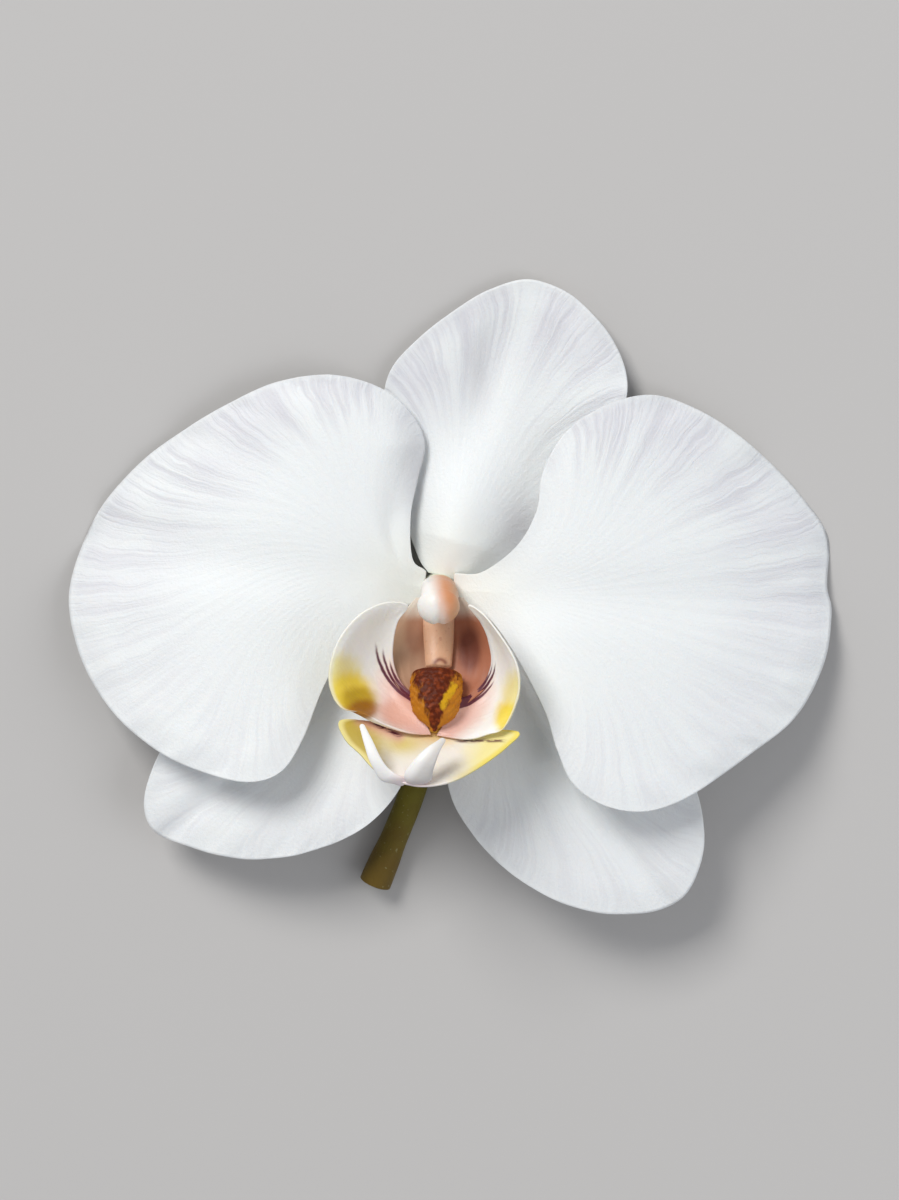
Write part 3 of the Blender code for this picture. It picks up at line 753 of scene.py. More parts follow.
# %% Sepal outlines and relief
DORSAL_SEPAL = (
    (-2.6, 4.4), (-4.4, 9.4), (-6.0, 15.0), (-7.1, 21.0), (-6.8, 26.8), (-4.3, 30.9), (0.6, 35.2),
    (6.4, 38.6), (11.9, 39.9), (17.0, 38.1), (21.0, 34.2), (23.6, 29.6), (24.2, 24.6), (22.2, 18.8),
    (18.2, 12.8), (13.0, 7.2), (7.4, 3.0),
)
LEFT_LATERAL_SEPAL = (
    (-5.8, -2.0), (-13.5, -4.6), (-23.0, -8.6), (-30.5, -13.8), (-35.8, -20.0), (-38.3, -26.6),
    (-37.4, -31.2), (-32.4, -33.6), (-25.4, -34.9), (-17.6, -34.2), (-10.4, -31.2), (-5.4, -26.2),
    (-3.0, -19.6), (-2.0, -12.0), (-1.6, -6.2),
)
RIGHT_LATERAL_SEPAL = (
    (1.8, -5.8), (1.4, -12.4), (0.8, -19.6), (1.5, -26.4), (4.4, -31.6), (8.6, -36.2), (13.8, -39.6),
    (19.6, -41.7), (25.4, -42.3), (30.4, -41.2), (33.2, -38.0), (34.6, -32.6), (33.6, -26.0),
    (29.6, -18.4), (22.0, -11.2), (12.8, -5.6), (5.6, -2.2),
)
SEPAL_SEAT = -2.8
SEPAL_HALF_WIDTH = 15.0
CUP_START = 0.22
CUP_SLOPE = 1.6
RIDGE_WIDTH = 0.32
RIDGE_LENGTH = 0.42
TROUGH_ALONG = (0.72, 0.20)
TROUGH_ACROSS = (0.10, 0.19)
CREASE_HALF = 0.11
RIDGE_RISE = 6.0
SEPAL_WAVE = 0.45
SEPAL_WAVES = 2.0


def height_of_sepal(x, y, axis_deg, length, back, cup, ridge, trough, crease, phase):
    """A cup by the square of the distance across, a bell-shaped ridge on the base, a trough
    farther out, a crease along the outer half, a bend by the square of the distance along, and
    a wave of the sides."""
    axis = math.radians(axis_deg)
    along = (x * math.cos(axis) + y * math.sin(axis)) / length
    across = (y * math.cos(axis) - x * math.sin(axis)) / SEPAL_HALF_WIDTH
    cupped = cup * across**2 * np.clip((along - CUP_START) * CUP_SLOPE, 0, 1)
    base = np.exp(-((along / RIDGE_LENGTH) ** 4)) * np.clip(along * RIDGE_RISE, 0, 1)
    ridged = ridge * hill(across, 0, RIDGE_WIDTH) * base
    hollow = trough * hill(along, *TROUGH_ALONG) * hill(across, *TROUGH_ACROSS)
    folded = crease * hill(across, 0, CREASE_HALF) * eased(along, 0.3, 0.6)
    bend = -back * np.clip(along, 0, None) ** 2
    waves = SEPAL_WAVE * wave(SEPAL_WAVES * along, phase) * across**2 * along
    return SEPAL_SEAT + cupped + ridged - hollow - folded + bend + waves


print("the upper sepal is", round(float(np.ptp(DORSAL_SEPAL, axis=0)[0]), 1), "mm wide")


# %% Make the sepals
SEPAL_FORM = {
    "claw_half": SEPAL_CLAW, "cells": SEPAL_CELLS, "height": height_of_sepal,
    "ruffle": 0.5, "veins": SEPAL_VEINS, "keel": 0.5, "look": sepal_white, "slot": "sepal_white",
}
UPPER = {"back": -5.4, "cup": 0.8, "ridge": 2.9, "trough": 1.4, "crease": 0.0}
LOWER = {"back": 5.0, "cup": 1.0, "ridge": 0.5, "trough": 0.0, "crease": 0.6}
blade("dorsal_sepal", DORSAL_SEPAL, (0.20, 0.80), 74, 41, SEPAL_FORM, phase=0.0, **UPPER)
blade("lateral_sepal_left", LEFT_LATERAL_SEPAL, (0.24, 0.76), 222, 48, SEPAL_FORM, phase=1.0, **LOWER)
blade("lateral_sepal_right", RIGHT_LATERAL_SEPAL, (0.24, 0.76), 306, 51, SEPAL_FORM, phase=2.0, **LOWER)


# %% [markdown]
# ## The stalk
# The ovary and its stalk are one tube, a little swollen at both ends, and the petals and sepals
# grow from its head. It is olive green, yellower by the flower, browner towards the end where
# it was picked, with faint ribs and small pale pores.

# %% Stalk finish
STALK_YELLOW = (0.52, 0.53, 0.20)
STALK_OLIVE = (0.21, 0.185, 0.022)
STALK_BROWN = (0.13, 0.07, 0.015)
STALK_HEAD = (0.78, 0.80, 0.62)
STALK_PORE = (0.50, 0.50, 0.28)
STALK_CUT = (0.46, 0.44, 0.22)


def stalk_finish():
    """Yellow green under a pale head, then olive, browner towards the cut, with pale pores."""
    look = Look("stalk_green", STALK_YELLOW, 0.12, (0.7, 0.9, 0.3), 1.0, shine=0.25)
    blotch = look.noise(0.35, 3.0)
    look.cover(look.step(look.s, 0.10, 0.42), STALK_OLIVE)
    look.cover(look.step(look.s + blotch * 0.3, 0.72, 1.12) * 0.8, STALK_BROWN)
    look.cover(look.step(look.s, 0.085, 0.02), STALK_HEAD)
    pores = look.step(look.noise(2.4, 1.0), 0.68, 0.76)
    look.cover(pores * 0.35, STALK_PORE)
    look.cover(look.step(look.s, 1.05, 1.09), STALK_CUT)
    fibres = look.noise(2.0, vector=look.vector(look.t * 60.0, look.s * 9.0))
    return look.finish(fibres + pores * 0.4, 0.06, 0.38 + blotch * 0.16)


stalk_green = stalk_finish()

# %% Make the stalk
STALK = {
    "path": (
        (0.0, 0.0, -0.9), (0.0, 0.0, -2.6), (0.0, -0.4, -4.4), (0.0, -2.6, -5.9),
        (-0.4, -8.0, -6.9), (-1.3, -15.5, -8.4), (-3.2, -25.5, -10.8), (-8.4, -38.5, -14.4),
    ),
    "radius": (
        2.1, 2.45, 2.3, 2.15, 2.05, 1.95, 1.86, 1.79, 1.76, 1.75, 1.75, 1.76, 1.80, 2.02, 2.12,
    ),
    "flatness": 1.0, "cells": (190, 72), "bulge": (0.4, 0.15),
}


def ribbed(share, angle):
    """Six shallow ribs on the ovary, which fade along the stalk."""
    return 1 + 0.028 * np.cos(6 * angle + 3 * share) * (1 - eased(share, 0.3, 0.7))


skin("pedicel_stalk", *tube_rings(**STALK, shape=ribbed), stalk_green, "pedicel", "stalk_green")


# %% [markdown]
# ## The column
# Stamen and pistil are grown together into one short column. Its foot runs down to the lip, and
# a sticky hollow under its tip receives pollen. The rod and the foot are tubes. The hollow is
# pushed in: every point near it moves inwards by a bell of its distance.

# %% Column finish
TIP_WHITE = (0.90, 0.87, 0.83)
TIP_SALMON_AND_SHADE = (0.68, 0.30, 0.14)
TIP_TAN_SHADE = (0.60, 0.42, 0.27)


def salmon_and_shade_side(look):
    """0 on the left of the tip and 1 on its right, where its salmon is partly its own colour
    and partly painted shade on the side away from the light.
    """
    return look.step(look.x + look.y * 0.25, -1.3, 1.2)


COLUMN_BEIGE_AND_SHADE = (0.76, 0.50, 0.34)
FOOT_TAN_AND_SHADE = (0.68, 0.38, 0.22)
FRECKLE = (0.42, 0.14, 0.10)
HOLLOW_SHADE = (0.58, 0.32, 0.18)
DARK_BROWN = (0.20, 0.05, 0.03)


def column_finish():
    """White above and salmon to the right, beige underneath and warm tan along the foot, with
    freckles and a small dark arch along the foot. The salmon and tan of the tip and the beige
    and tan below are partly their own colour and partly painted shade, and the sticky hollow
    is darkened by painted shade."""
    look = Look("column_white", TIP_WHITE, 0.25, (1.0, 0.75, 0.55), 0.8)
    # The salmon and tan on the right of the tip are partly its own colour and partly painted shade on the
    # side away from the light.
    look.cover(salmon_and_shade_side(look), TIP_SALMON_AND_SHADE)
    look.cover(look.step(look.x - look.y * 0.3, 0.9, 2.4) * 0.6, TIP_TAN_SHADE)
    # The beige underside and the tan foot are partly their own colour and partly painted shade.
    look.cover(look.step(look.y + look.z * 0.25, -0.6, -2.6) * 0.7, COLUMN_BEIGE_AND_SHADE)
    foot = look.step(look.y, -1.8, -5.0) * look.step(look.z, 5.2, 3.2)
    look.cover(foot * 0.8, FOOT_TAN_AND_SHADE)
    look.cover(look.step(look.noise(1.9), 0.60, 0.70) * foot * 0.3, FRECKLE)
    # Painted shade in the sticky hollow under the tip.
    look.dab(0.6, HOLLOW_SHADE, 0.2, -3.4, 1.1, 1.0)
    across, up = look.x - 0.2, look.y + 9.6
    ring = look.bell((across * across + up * up) ** 0.5, 0.75, 0.28)
    look.cover(ring * look.step(up, -0.2, 0.4) * 0.8, DARK_BROWN)
    return look.grained(2.5, 2.0, 0.05, 0.30, 0.16)


column_white = column_finish()

# %% Make the column
COLUMN = {
    "path": (
        (0.0, 0.1, -0.9), (0.0, 0.2, 2.0), (0.1, -0.2, 4.4), (0.2, -1.0, 6.6), (0.3, -1.9, 8.2),
    ),
    "radius": (2.3, 2.3, 2.15, 2.15, 2.4, 2.3, 2.0),
    "flatness": 0.82, "cells": (110, 96), "bulge": (0.2, 0.3),
}
FOOT = {
    "path": ((0.0, 0.2, 1.6), (0.0, -3.6, 1.3), (0.0, -6.4, 1.5), (0.0, -9.6, 2.4)),
    "radius": (1.7, 2.0, 1.95, 1.7),
    "flatness": 0.55, "cells": (80, 56), "bulge": (0.3, 0.5),
}
HOLLOW_AT = np.array([0.2, -2.9, 6.0])
HOLLOW_SIZE = 1.25
HOLLOW_DEPTH = 1.1


def winged(share, angle):
    """Two low wings flank the hollow on the underside near the tip."""
    down = hill(angle, math.radians(222), 0.30) + hill(angle, math.radians(318), 0.30)
    return 1 + 0.13 * down * eased(share, 0.45, 0.75)


def pushed_in(rings):
    """Points near the hollow move away from it, towards the rod's middle."""
    off = np.linalg.norm(rings - HOLLOW_AT, axis=-1, keepdims=True)
    inwards = unit(np.array([0.0, 1.0, 0.45]))
    return rings + inwards * HOLLOW_DEPTH * np.exp(-((off / HOLLOW_SIZE) ** 2))


rings, place = tube_rings(**COLUMN, shape=winged)
skin("column_rod", pushed_in(rings), place, column_white, "column", "column_white")
skin("column_foot", *tube_rings(**FOOT), column_white, "column", "column_white")


# %% [markdown]
# ## The anther cap and its pollen
# A small cap covers two waxy balls of pollen on the column's tip, white on the left and salmon
# on the right, where the salmon is partly its own colour and partly painted shade. It is half a
# hollow egg with a groove down its middle, open towards the column. One row of points runs from
# the inner pole to the rim and back up the outside, so the wall is real.

# %% Cap and pollen finishes
CAP_GROOVE = (0.68, 0.32, 0.20)
POLLEN_YELLOW = (0.90, 0.62, 0.08)
POLLEN_ORANGE = (0.78, 0.44, 0.04)


def cap_finish():
    """The column tip's white and salmon, warmer in the groove, with salmon and tan on the right
    that are partly painted shade.
    """
    look = Look("cap_pink", TIP_WHITE, 0.3, (1.0, 0.6, 0.45), 0.8)
    # The salmon and tan on the right of the cap are partly its own colour and partly painted shade.
    look.cover(salmon_and_shade_side(look), TIP_SALMON_AND_SHADE)
    look.cover(look.bell(look.x, 0.3, 0.35) * 0.2, CAP_GROOVE)
    look.cover(look.step(look.x - look.y * 0.3, 1.8, 3.4) * 0.6, TIP_TAN_SHADE)
    return look.grained(3.0, 2.0, 0.04, 0.28, 0.14)


def pollen_finish():
    """Waxy yellow, clouded with orange."""
    look = Look("pollen_wax", POLLEN_YELLOW, 0.2, (1.0, 0.6, 0.2), 0.6)
    grain = look.noise(4.0, 3.0)
    look.cover(grain, POLLEN_ORANGE)
    return look.finish(grain, 0.03, 0.26 + grain * 0.12)


cap_pink = cap_finish()
pollen_wax = pollen_finish()

# %% Make the cap and the pollen
CAP_RADII = np.array([2.7, 2.5, 2.1])
CAP_WALL = 0.5
CAP_TURN = math.radians(25)
CAP_MIDDLE = np.array([0.0, -1.95, 8.4])
CAP_UP = np.array([0.0, -math.sin(CAP_TURN), math.cos(CAP_TURN)])
CAP_BACK = np.array([0.0, math.cos(CAP_TURN), math.sin(CAP_TURN)])
CAP_CELLS = (96, 96)
CAP_POLE = math.radians(88.5)
RIM_SHARE = 0.04
GROOVE_DEPTH = 0.10
GROOVE_WIDTH = 0.42
DIP_MM = 0.30


def from_cap(local):
    """Cap coordinates (right, to the back, up off the tip) to the flower's frame."""
    right, back, up = local[..., :1], local[..., 1:2], local[..., 2:]
    return CAP_MIDDLE + right * np.array([1.0, 0, 0]) + back * CAP_BACK + up * CAP_UP


def egg(latitude, longitude):
    """Unit half egg: latitude 0 at the rim and 90 degrees at the pole."""
    flat = np.cos(latitude)
    return np.stack([flat * np.cos(longitude), flat * np.sin(longitude), np.sin(latitude)], axis=-1)


def cap_rings():
    """Rows from the inner pole out to the rim and up to the outer pole. The outside has a
    groove where x is near 0 and a lip that dips at the front of the rim."""
    turn = np.linspace(-1, 1, CAP_CELLS[0])
    latitude = np.maximum((np.abs(turn) - RIM_SHARE) / (1 - RIM_SHARE), 0) * CAP_POLE
    longitude = np.linspace(0, 2 * math.pi, CAP_CELLS[1], endpoint=False)
    up, around = np.meshgrid(latitude, longitude, indexing="ij")
    outside = eased(turn, -RIM_SHARE, RIM_SHARE)[:, None, None]
    local = egg(up, around) * (CAP_RADII - CAP_WALL * (1 - outside))
    right, front, height = local[..., 0], -local[..., 1], local[..., 2]
    groove = GROOVE_DEPTH * hill(right, 0, GROOVE_WIDTH) * (0.25 + 0.75 * eased(front, -0.6, 1.8))
    dip = DIP_MM * hill(right, 0, 1.0) * eased(front, 1.2, 2.3) * (1 - eased(height, 0, 1.2))
    local = local * (1 - (groove * outside[..., 0])[..., None])
    local[..., 2] -= dip
    return from_cap(local), np.stack([around / (2 * math.pi), up, np.zeros_like(up)], axis=-1)


POLLEN_RADII = np.array([0.52, 0.6, 0.5])
POLLEN_APART = 0.62
POLLEN_HEIGHT = 0.8
POLLEN_CELLS = 40


def pollen_rings(side):
    """An egg with a cleft: its radius dips in a bell across the middle."""
    latitude = np.linspace(-math.pi / 2, math.pi / 2, POLLEN_CELLS)[1:-1]
    longitude = np.linspace(0, 2 * math.pi, POLLEN_CELLS, endpoint=False)
    latitude, longitude = np.meshgrid(latitude, longitude, indexing="ij")
    unit_egg = egg(latitude, longitude)
    cleft = 1 - 0.14 * hill(unit_egg[..., 1:2], 0, 0.22)
    local = unit_egg * POLLEN_RADII * cleft + np.array([side * POLLEN_APART, 0.0, POLLEN_HEIGHT])
    return from_cap(local), np.stack([longitude, latitude, np.zeros_like(latitude)], axis=-1)


skin("anther_cap_shell", *cap_rings(), cap_pink, "anther_cap", "cap_pink")
for side, word in ((-1, "left"), (1, "right")):
    skin("pollen_" + word, *pollen_rings(side), pollen_wax, "pollinarium", "pollen_wax")


# %% [markdown]
# ## The lip
# The lowest petal has become the lip, on which a visiting insect lands. Two side lobes stand up
# beside the column like cupped hands, the middle lobe points forward and ends in two curled
# tendrils, and a warty callus sits where the three meet. It grew as one organ, but its lobes
# bend in different ways, so each has a grid of its own here.

# %% Lip finishes
LIP_WHITE = (0.88, 0.84, 0.78)
LOBE_WHITE = (0.95, 0.94, 0.90)
LIP_YELLOW = (0.90, 0.68, 0.06)
LIP_LEMON = (0.90, 0.70, 0.07)
LIP_PALE_YELLOW = (0.90, 0.80, 0.36)
FOLD_SHADE_OLIVE = (0.34, 0.13, 0.002)
LIP_BLUSH = (0.71, 0.38, 0.31)
STRIPE_AND_CREASE_SHADE = (0.10, 0.008, 0.03)
FOLD_SHADE_MUSTARD = (0.55, 0.36, 0.015)
LIP_PINK_AND_SHADE = (0.73, 0.42, 0.33)
LOBE_RIM = (0.94, 0.91, 0.80)
LOBE_WINE_AND_SHADE = (0.42, 0.10, 0.12)
LIP_GLOW = {"glow": 0.25, "glow_radius": (1.0, 0.8, 0.55), "glow_mm": 0.7}


def side_lobe_finish(name, spots, stripes, stripe_wide):
    """White with a blush where it meets the callus, dark stripes that run up from there along
    the veins and thin out, wine at the inner base that is partly its own colour and partly
    painted shade, and coloured spots. spots lists (colour, x, y, wide, high) and
    stripes lists (vein, how far it runs)."""
    look = Look(name, LOBE_WHITE, **LIP_GLOW)
    fray = (look.noise(0.8, 3.0) - 0.5) * 0.10
    look.cover(look.step(look.s + fray, 0.55, 0.12) * 0.85, LIP_BLUSH)
    for colour, *place in spots:
        soft = look.step(look.spot(*place) + fray * 2.0, 0.22, 0.80)
        look.cover(soft * 0.95, colour)
    look.cover(look.step(look.s, 0.955, 0.995) * 0.6, LOBE_RIM)
    found = 0.0
    for at, reach in stripes:
        wide = stripe_wide - look.s * ((stripe_wide - 0.003) / reach)
        off = look.math("ABSOLUTE", look.t - at + fray * 0.3)
        fading = look.step(look.s, reach, reach * 0.8)
        found = look.larger(found, look.step(off - wide, 0.014, -0.014) * fading)
    # The wine at the inner base is partly its own spotting and partly painted shade.
    look.cover(look.step(look.s, 0.34, 0.04) * look.step(look.t, 0.34, 0.2) * 0.55, LOBE_WINE_AND_SHADE)
    look.cover(found * 0.97, STRIPE_AND_CREASE_SHADE)
    return look.grained(2.6, 3.0, 0.05, 0.32, 0.16)


left_lobe_look = side_lobe_finish(
    "lip_left_white",
    # The lower corner is yellow of its own, and turns mustard and olive in painted shade where the lobe
    # folds.
    ((LIP_PALE_YELLOW, -12.6, -11.4, 3.4, 4.0), (LIP_YELLOW, -11.4, -12.9, 3.3, 2.9),
     (FOLD_SHADE_MUSTARD, -10.2, -14.0, 2.8, 2.0), (FOLD_SHADE_OLIVE, -9.6, -15.2, 2.4, 1.5),
     # Pink by the callus, deepened by painted shade under the column.
     (LIP_PINK_AND_SHADE, -4.6, -15.6, 3.8, 2.2)),
    ((0.035, 0.42), (0.105, 0.56), (0.185, 0.66)), 0.055,
)
right_lobe_look = side_lobe_finish(
    "lip_right_white",
    ((LIP_PALE_YELLOW, 9.9, -13.8, 2.1, 4.2), (LIP_LEMON, 8.7, -16.2, 1.8, 2.4)),
    ((0.03, 0.52), (0.12, 0.56), (0.22, 0.44)), 0.082,
)


# %% Side lobes
LOBE_CELLS = (110, 120)
LOBE_MM = 0.5
LOBE_RIB_MM = 0.05
LOBE_VEINS = 9
RIM_RISE = (6, 14)
LEFT_LOBE = {
    "claw": ((-3.0, -13.6, 5.4), (-1.0, -18.4, 6.4)),
    "outline": (
        (-4.9, -11.6, 4.2), (-5.8, -9.2, 4.4), (-5.8, -6.6, 5.6), (-5.2, -4.0, 7.2), (-3.9, -1.9, 8.8),
        (-6.6, -1.5, 9.6), (-9.8, -2.9, 10.2), (-12.4, -5.8, 10.4), (-13.7, -9.2, 10.2),
        (-13.8, -12.2, 9.8), (-12.4, -14.9, 9.3), (-9.4, -15.6, 8.7), (-6.8, -17.0, 8.2), (-3.8, -18.1, 7.3),
    ),
    "sides": (0.325, 0.775),
    "deep": (-0.9, -0.3, -2.6),
}
RIGHT_LOBE = {
    "claw": ((2.4, -13.9, 5.4), (-0.2, -18.5, 6.4)),
    "outline": (
        (4.5, -13.2, 4.2), (6.2, -11.3, 4.4), (6.9, -8.6, 5.6), (5.9, -4.8, 7.4), (3.8, -1.9, 8.8),
        (5.6, -2.9, 9.8), (8.0, -5.9, 10.4), (9.8, -9.0, 10.6), (10.3, -12.0, 10.2), (9.7, -14.8, 9.6),
        (8.2, -17.6, 9.0), (6.2, -18.3, 8.6), (3.6, -18.9, 7.8),
    ),
    "sides": (0.36, 0.80),
    "deep": (0.7, -0.3, -2.2),
}


def sheet_piece(name, surface, cells, facing, look):
    """A part of the lip: a sheet with low ribs and a thin rim all round."""
    s, t = grid(cells)
    edge = np.minimum((1 - s) * RIM_RISE[0], np.minimum(t, 1 - t) * RIM_RISE[1])
    thickness = EDGE_MM + (LOBE_MM - EDGE_MM) * eased(edge, 0, 1)
    half = (thickness + LOBE_RIB_MM * ribs(s, t, LOBE_VEINS)) / 2
    rings = sheet_rings(surface(s, t), half, half, np.array(facing), t, s)
    skin(name, *rings, look, "lip", "lip_colours")


def side_lobe(name, form, facing, look):
    """A patch in space, pushed deep in its middle by sin(pi s) sin(pi t), like a spoon."""

    def surface(s, t):
        sheet = patch(s, t, form["claw"], form["outline"], form["sides"])
        hollow = np.sin(math.pi * s) * np.sin(math.pi * t**0.8)
        return sheet + hollow[..., None] * np.array(form["deep"])

    sheet_piece(name, surface, LOBE_CELLS, facing, look)


side_lobe("lip_left_lobe", LEFT_LOBE, (0.6, 0, 0.8), left_lobe_look)
side_lobe("lip_right_lobe", RIGHT_LOBE, (-0.6, 0, 0.8), right_lobe_look)


# %% Throat
# The lip's base is a shallow trough behind the column's foot, from one side lobe to the other.
# Its beige and red-brown are mostly painted shade, over some red of its own on the right.
THROAT_LEFT = (
    (-2.9, -0.9, 1.6), (-5.6, -4.2, 3.4), (-6.9, -7.4, 3.6), (-6.3, -10.6, 3.6), (-4.2, -13.8, 4.6),
)
THROAT_MIDDLE = (
    (0.2, -0.8, 0.7), (0.2, -4.6, 0.5), (0.2, -7.4, 0.6), (0.0, -10.6, 1.6), (-0.3, -14.4, 4.4),
)
THROAT_RIGHT = (
    (3.2, -0.9, 1.6), (6.0, -4.6, 3.6), (7.6, -8.2, 3.9), (6.9, -11.6, 3.9), (3.8, -14.4, 4.6),
)
THROAT_CELLS = (80, 90)


def throat_surface(s, t):
    """Each row is a quadratic curve from the left edge under the middle to the right edge."""
    left, right = through(THROAT_LEFT, s), through(THROAT_RIGHT, s)
    bend = 2 * through(THROAT_MIDDLE, s) - (left + right) / 2
    t = t[..., None]
    return (1 - t) ** 2 * left + 2 * t * (1 - t) * bend + t**2 * right


THROAT_BEIGE_SHADE = (0.52, 0.31, 0.20)
THROAT_RED_AND_SHADE = (0.41, 0.15, 0.08)
THROAT_OCHRE_SHADE = (0.50, 0.34, 0.20)
THROAT_BROWN_SHADE = (0.39, 0.18, 0.10)
THROAT_PALE = (0.74, 0.66, 0.56)


def throat_finish():
    """Beige on the left and red-brown on the right, mostly painted shade over some red of its
    own, with painted shade darker in an ochre patch on the left and in two ovals beside the foot.
    """
    look = Look("lip_throat_shade", THROAT_BEIGE_SHADE, 0.1, (1.0, 0.6, 0.4), 0.6)
    cloud = look.noise(0.6, 3.0)
    # Painted shade over a warm tint of its own: red-brown on the right, an ochre patch on the left and two
    # dark ovals beside the foot.
    look.cover(look.step(look.x + cloud, 0.6, 3.4), THROAT_RED_AND_SHADE)
    look.dab(0.6, THROAT_OCHRE_SHADE, -5.6, -6.8, 1.4, 3.6)
    look.cover(look.step(look.spot(-2.9, -5.7, 1.5, 2.8), 0.2, 0.7) * 0.75, THROAT_BROWN_SHADE)
    look.cover(look.step(look.spot(4.0, -7.6, 1.5, 3.2), 0.2, 0.7) * 0.8, DARK_BROWN)
    look.cover(look.step(look.y + cloud, -3.6, -1.4), THROAT_PALE)
    return look.finish(cloud, 0.06, 0.4 + cloud * 0.2)


sheet_piece("lip_throat", throat_surface, THROAT_CELLS, (0, 0, 1.0), throat_finish())


# %% Middle lobe and tendrils
STREAK_FADE = (-0.6, 0.8)


def streak(look, start, end, width):
    """A soft line between two points of the face: a bell across it, faded out at its ends."""
    along = np.array(end) - np.array(start)
    length = float(np.linalg.norm(along))
    run_x, run_y = (float(part) for part in along / length)
    x, y = look.x - start[0], look.y - start[1]
    forward, aside = x * run_x + y * run_y, x * -run_y + y * run_x
    begun, not_over = look.step(forward, *STREAK_FADE), look.step(length - forward, *STREAK_FADE)
    return look.bell(aside, 0.0, width) * begun * not_over


EAR_OLIVE = (0.50, 0.36, 0.02)
EAR_GOLD = (0.70, 0.56, 0.10)
EAR_ORANGE = (0.76, 0.44, 0.10)
POINT_SHADE = (0.60, 0.56, 0.46)
POINT_PINK = (0.83, 0.60, 0.64)
TENDRIL_WHITE = (0.90, 0.89, 0.87)
TENDRIL_SHADE = (0.60, 0.57, 0.54)
TENDRIL_PINK = (0.84, 0.66, 0.68)


def middle_lobe_finish():
    """A white middle and point, lemon ears with a yellow edge, olive on the left, a rosy patch
    on the left, a dark streak of painted shade along the crease where each side lobe meets it
    beside the callus, and painted shade at the bottom of the point."""
    look = Look("lip_middle_yellow", LIP_WHITE, **LIP_GLOW)
    shade = (look.noise(0.5, 3.0) - 0.5) * 2.4
    left_ear = look.step(look.x + shade, -5.4, -9.2)
    right_ear = look.step(look.x - look.y * 0.3 + shade, 7.6, 12.6)
    top = look.step(look.y + shade, -20.4, -17.0)
    look.cover(look.larger(top * 0.75, right_ear), LIP_PALE_YELLOW)
    look.cover(left_ear * 0.9, EAR_OLIVE)
    rim = look.step(look.s, 0.90, 0.98)
    look.cover(rim * right_ear * 0.7, LIP_LEMON)
    look.cover(rim * left_ear * 0.8, LIP_PALE_YELLOW)
    look.dab(0.8, EAR_GOLD, -4.6, -19.6, 2.8, 1.3)
    look.dab(0.7, EAR_ORANGE, -0.6, -18.4, 2.6, 1.2)
    # Painted shade at the bottom of the point.
    look.dab(0.5, POINT_SHADE, 2.2, -22.9, 2.6, 1.2)
    look.cover(streak(look, (-10.6, -16.0), (-4.4, -18.8), 0.9) * 0.85, LIP_BLUSH)
    # Painted shade: thin dark streaks in the creases where the side lobes meet the middle lobe.
    frayed = look.noise(1.0, 3.0, vector=look.vector(look.x * 0.8, look.y * 3.0))
    left = streak(look, (-8.4, -16.8), (-4.6, -18.7), 0.26)
    right = streak(look, (2.2, -19.2), (8.4, -19.1), 0.20) * 0.9
    look.cover(look.larger(left, right) * look.step(frayed, 0.34, 0.56), STRIPE_AND_CREASE_SHADE)
    look.dab(0.55, POINT_PINK, -3.6, -24.8, 2.6, 1.3)
    return look.grained(2.4, 3.0, 0.05, 0.32, 0.16)


def tendril_finish():
    """White, with a rosy base and painted shade on its right side."""
    look = Look("lip_tendril_white", TENDRIL_WHITE, **LIP_GLOW)
    # Painted shade on the right side of the tendrils.
    aside = look.x * 0.82 - look.y * 0.58
    look.cover(look.step(aside, 10.4, 11.6) * 0.75, TENDRIL_SHADE)
    look.cover(look.step(look.s, 0.30, 0.0) * 0.6, TENDRIL_PINK)
    return look.grained(2.2, 2.0, 0.04, 0.30, 0.14)


MIDDLE_CLAW = ((-4.2, -17.9, 5.2), (-0.9, -18.3, 5.2), (3.0, -18.2, 5.2))
MIDDLE_BELLY = (
    (-5.2, -17.8, 5.6), (-7.5, -18.6, 7.4), (-5.0, -20.7, 8.4), (-1.4, -21.6, 8.6), (2.2, -20.8, 8.4),
    (5.0, -19.4, 7.4), (4.0, -18.3, 5.6),
)
MIDDLE_OUTLINE = (
    (-5.8, -17.4, 5.4), (-8.8, -16.7, 6.4), (-12.6, -16.6, 7.3), (-11.9, -18.9, 8.6), (-9.9, -20.8, 10.0),
    (-8.2, -22.6, 11.2), (-5.8, -23.9, 12.6), (-2.4, -24.7, 13.6), (0.8, -24.4, 13.2), (3.4, -23.4, 12.2),
    (6.4, -21.6, 10.6), (8.9, -19.7, 9.0), (10.3, -18.1, 7.8), (7.0, -17.8, 6.6), (4.2, -18.0, 5.5),
)
TENDRILS = {
    "left": {
        "path": (
            (-4.6, -24.1, 12.7), (-6.6, -23.3, 13.6), (-7.9, -21.4, 14.3), (-8.8, -19.2, 14.0),
            (-9.6, -17.2, 13.0),
        ),
        "radius": (0.9, 1.0, 0.8, 0.7, 0.55, 0.35),
    },
    "right": {
        "path": (
            (-2.8, -24.2, 12.8), (-2.5, -23.3, 14.2), (-1.7, -21.7, 15.1), (-0.6, -20.1, 15.1),
            (0.5, -18.9, 14.4),
        ),
        "radius": (1.4, 1.8, 1.5, 1.15, 0.75, 0.4),
    },
}
TENDRIL_FORM = {"flatness": 0.42, "cells": (90, 40), "bulge": (0.6, 0.4)}


def middle_surface(s, t):
    """The fan of the middle lobe's veins."""
    return fan(s, t, MIDDLE_CLAW, MIDDLE_BELLY, MIDDLE_OUTLINE)


sheet_piece("lip_middle_lobe", middle_surface, LOBE_CELLS, (0, 0.3, 1.0), middle_lobe_finish())
tendril_look = tendril_finish()
for word, form in TENDRILS.items():
    rings = tube_rings(**form, **TENDRIL_FORM)
    skin("lip_tendril_" + word, *rings, tendril_look, "lip", "lip_colours")


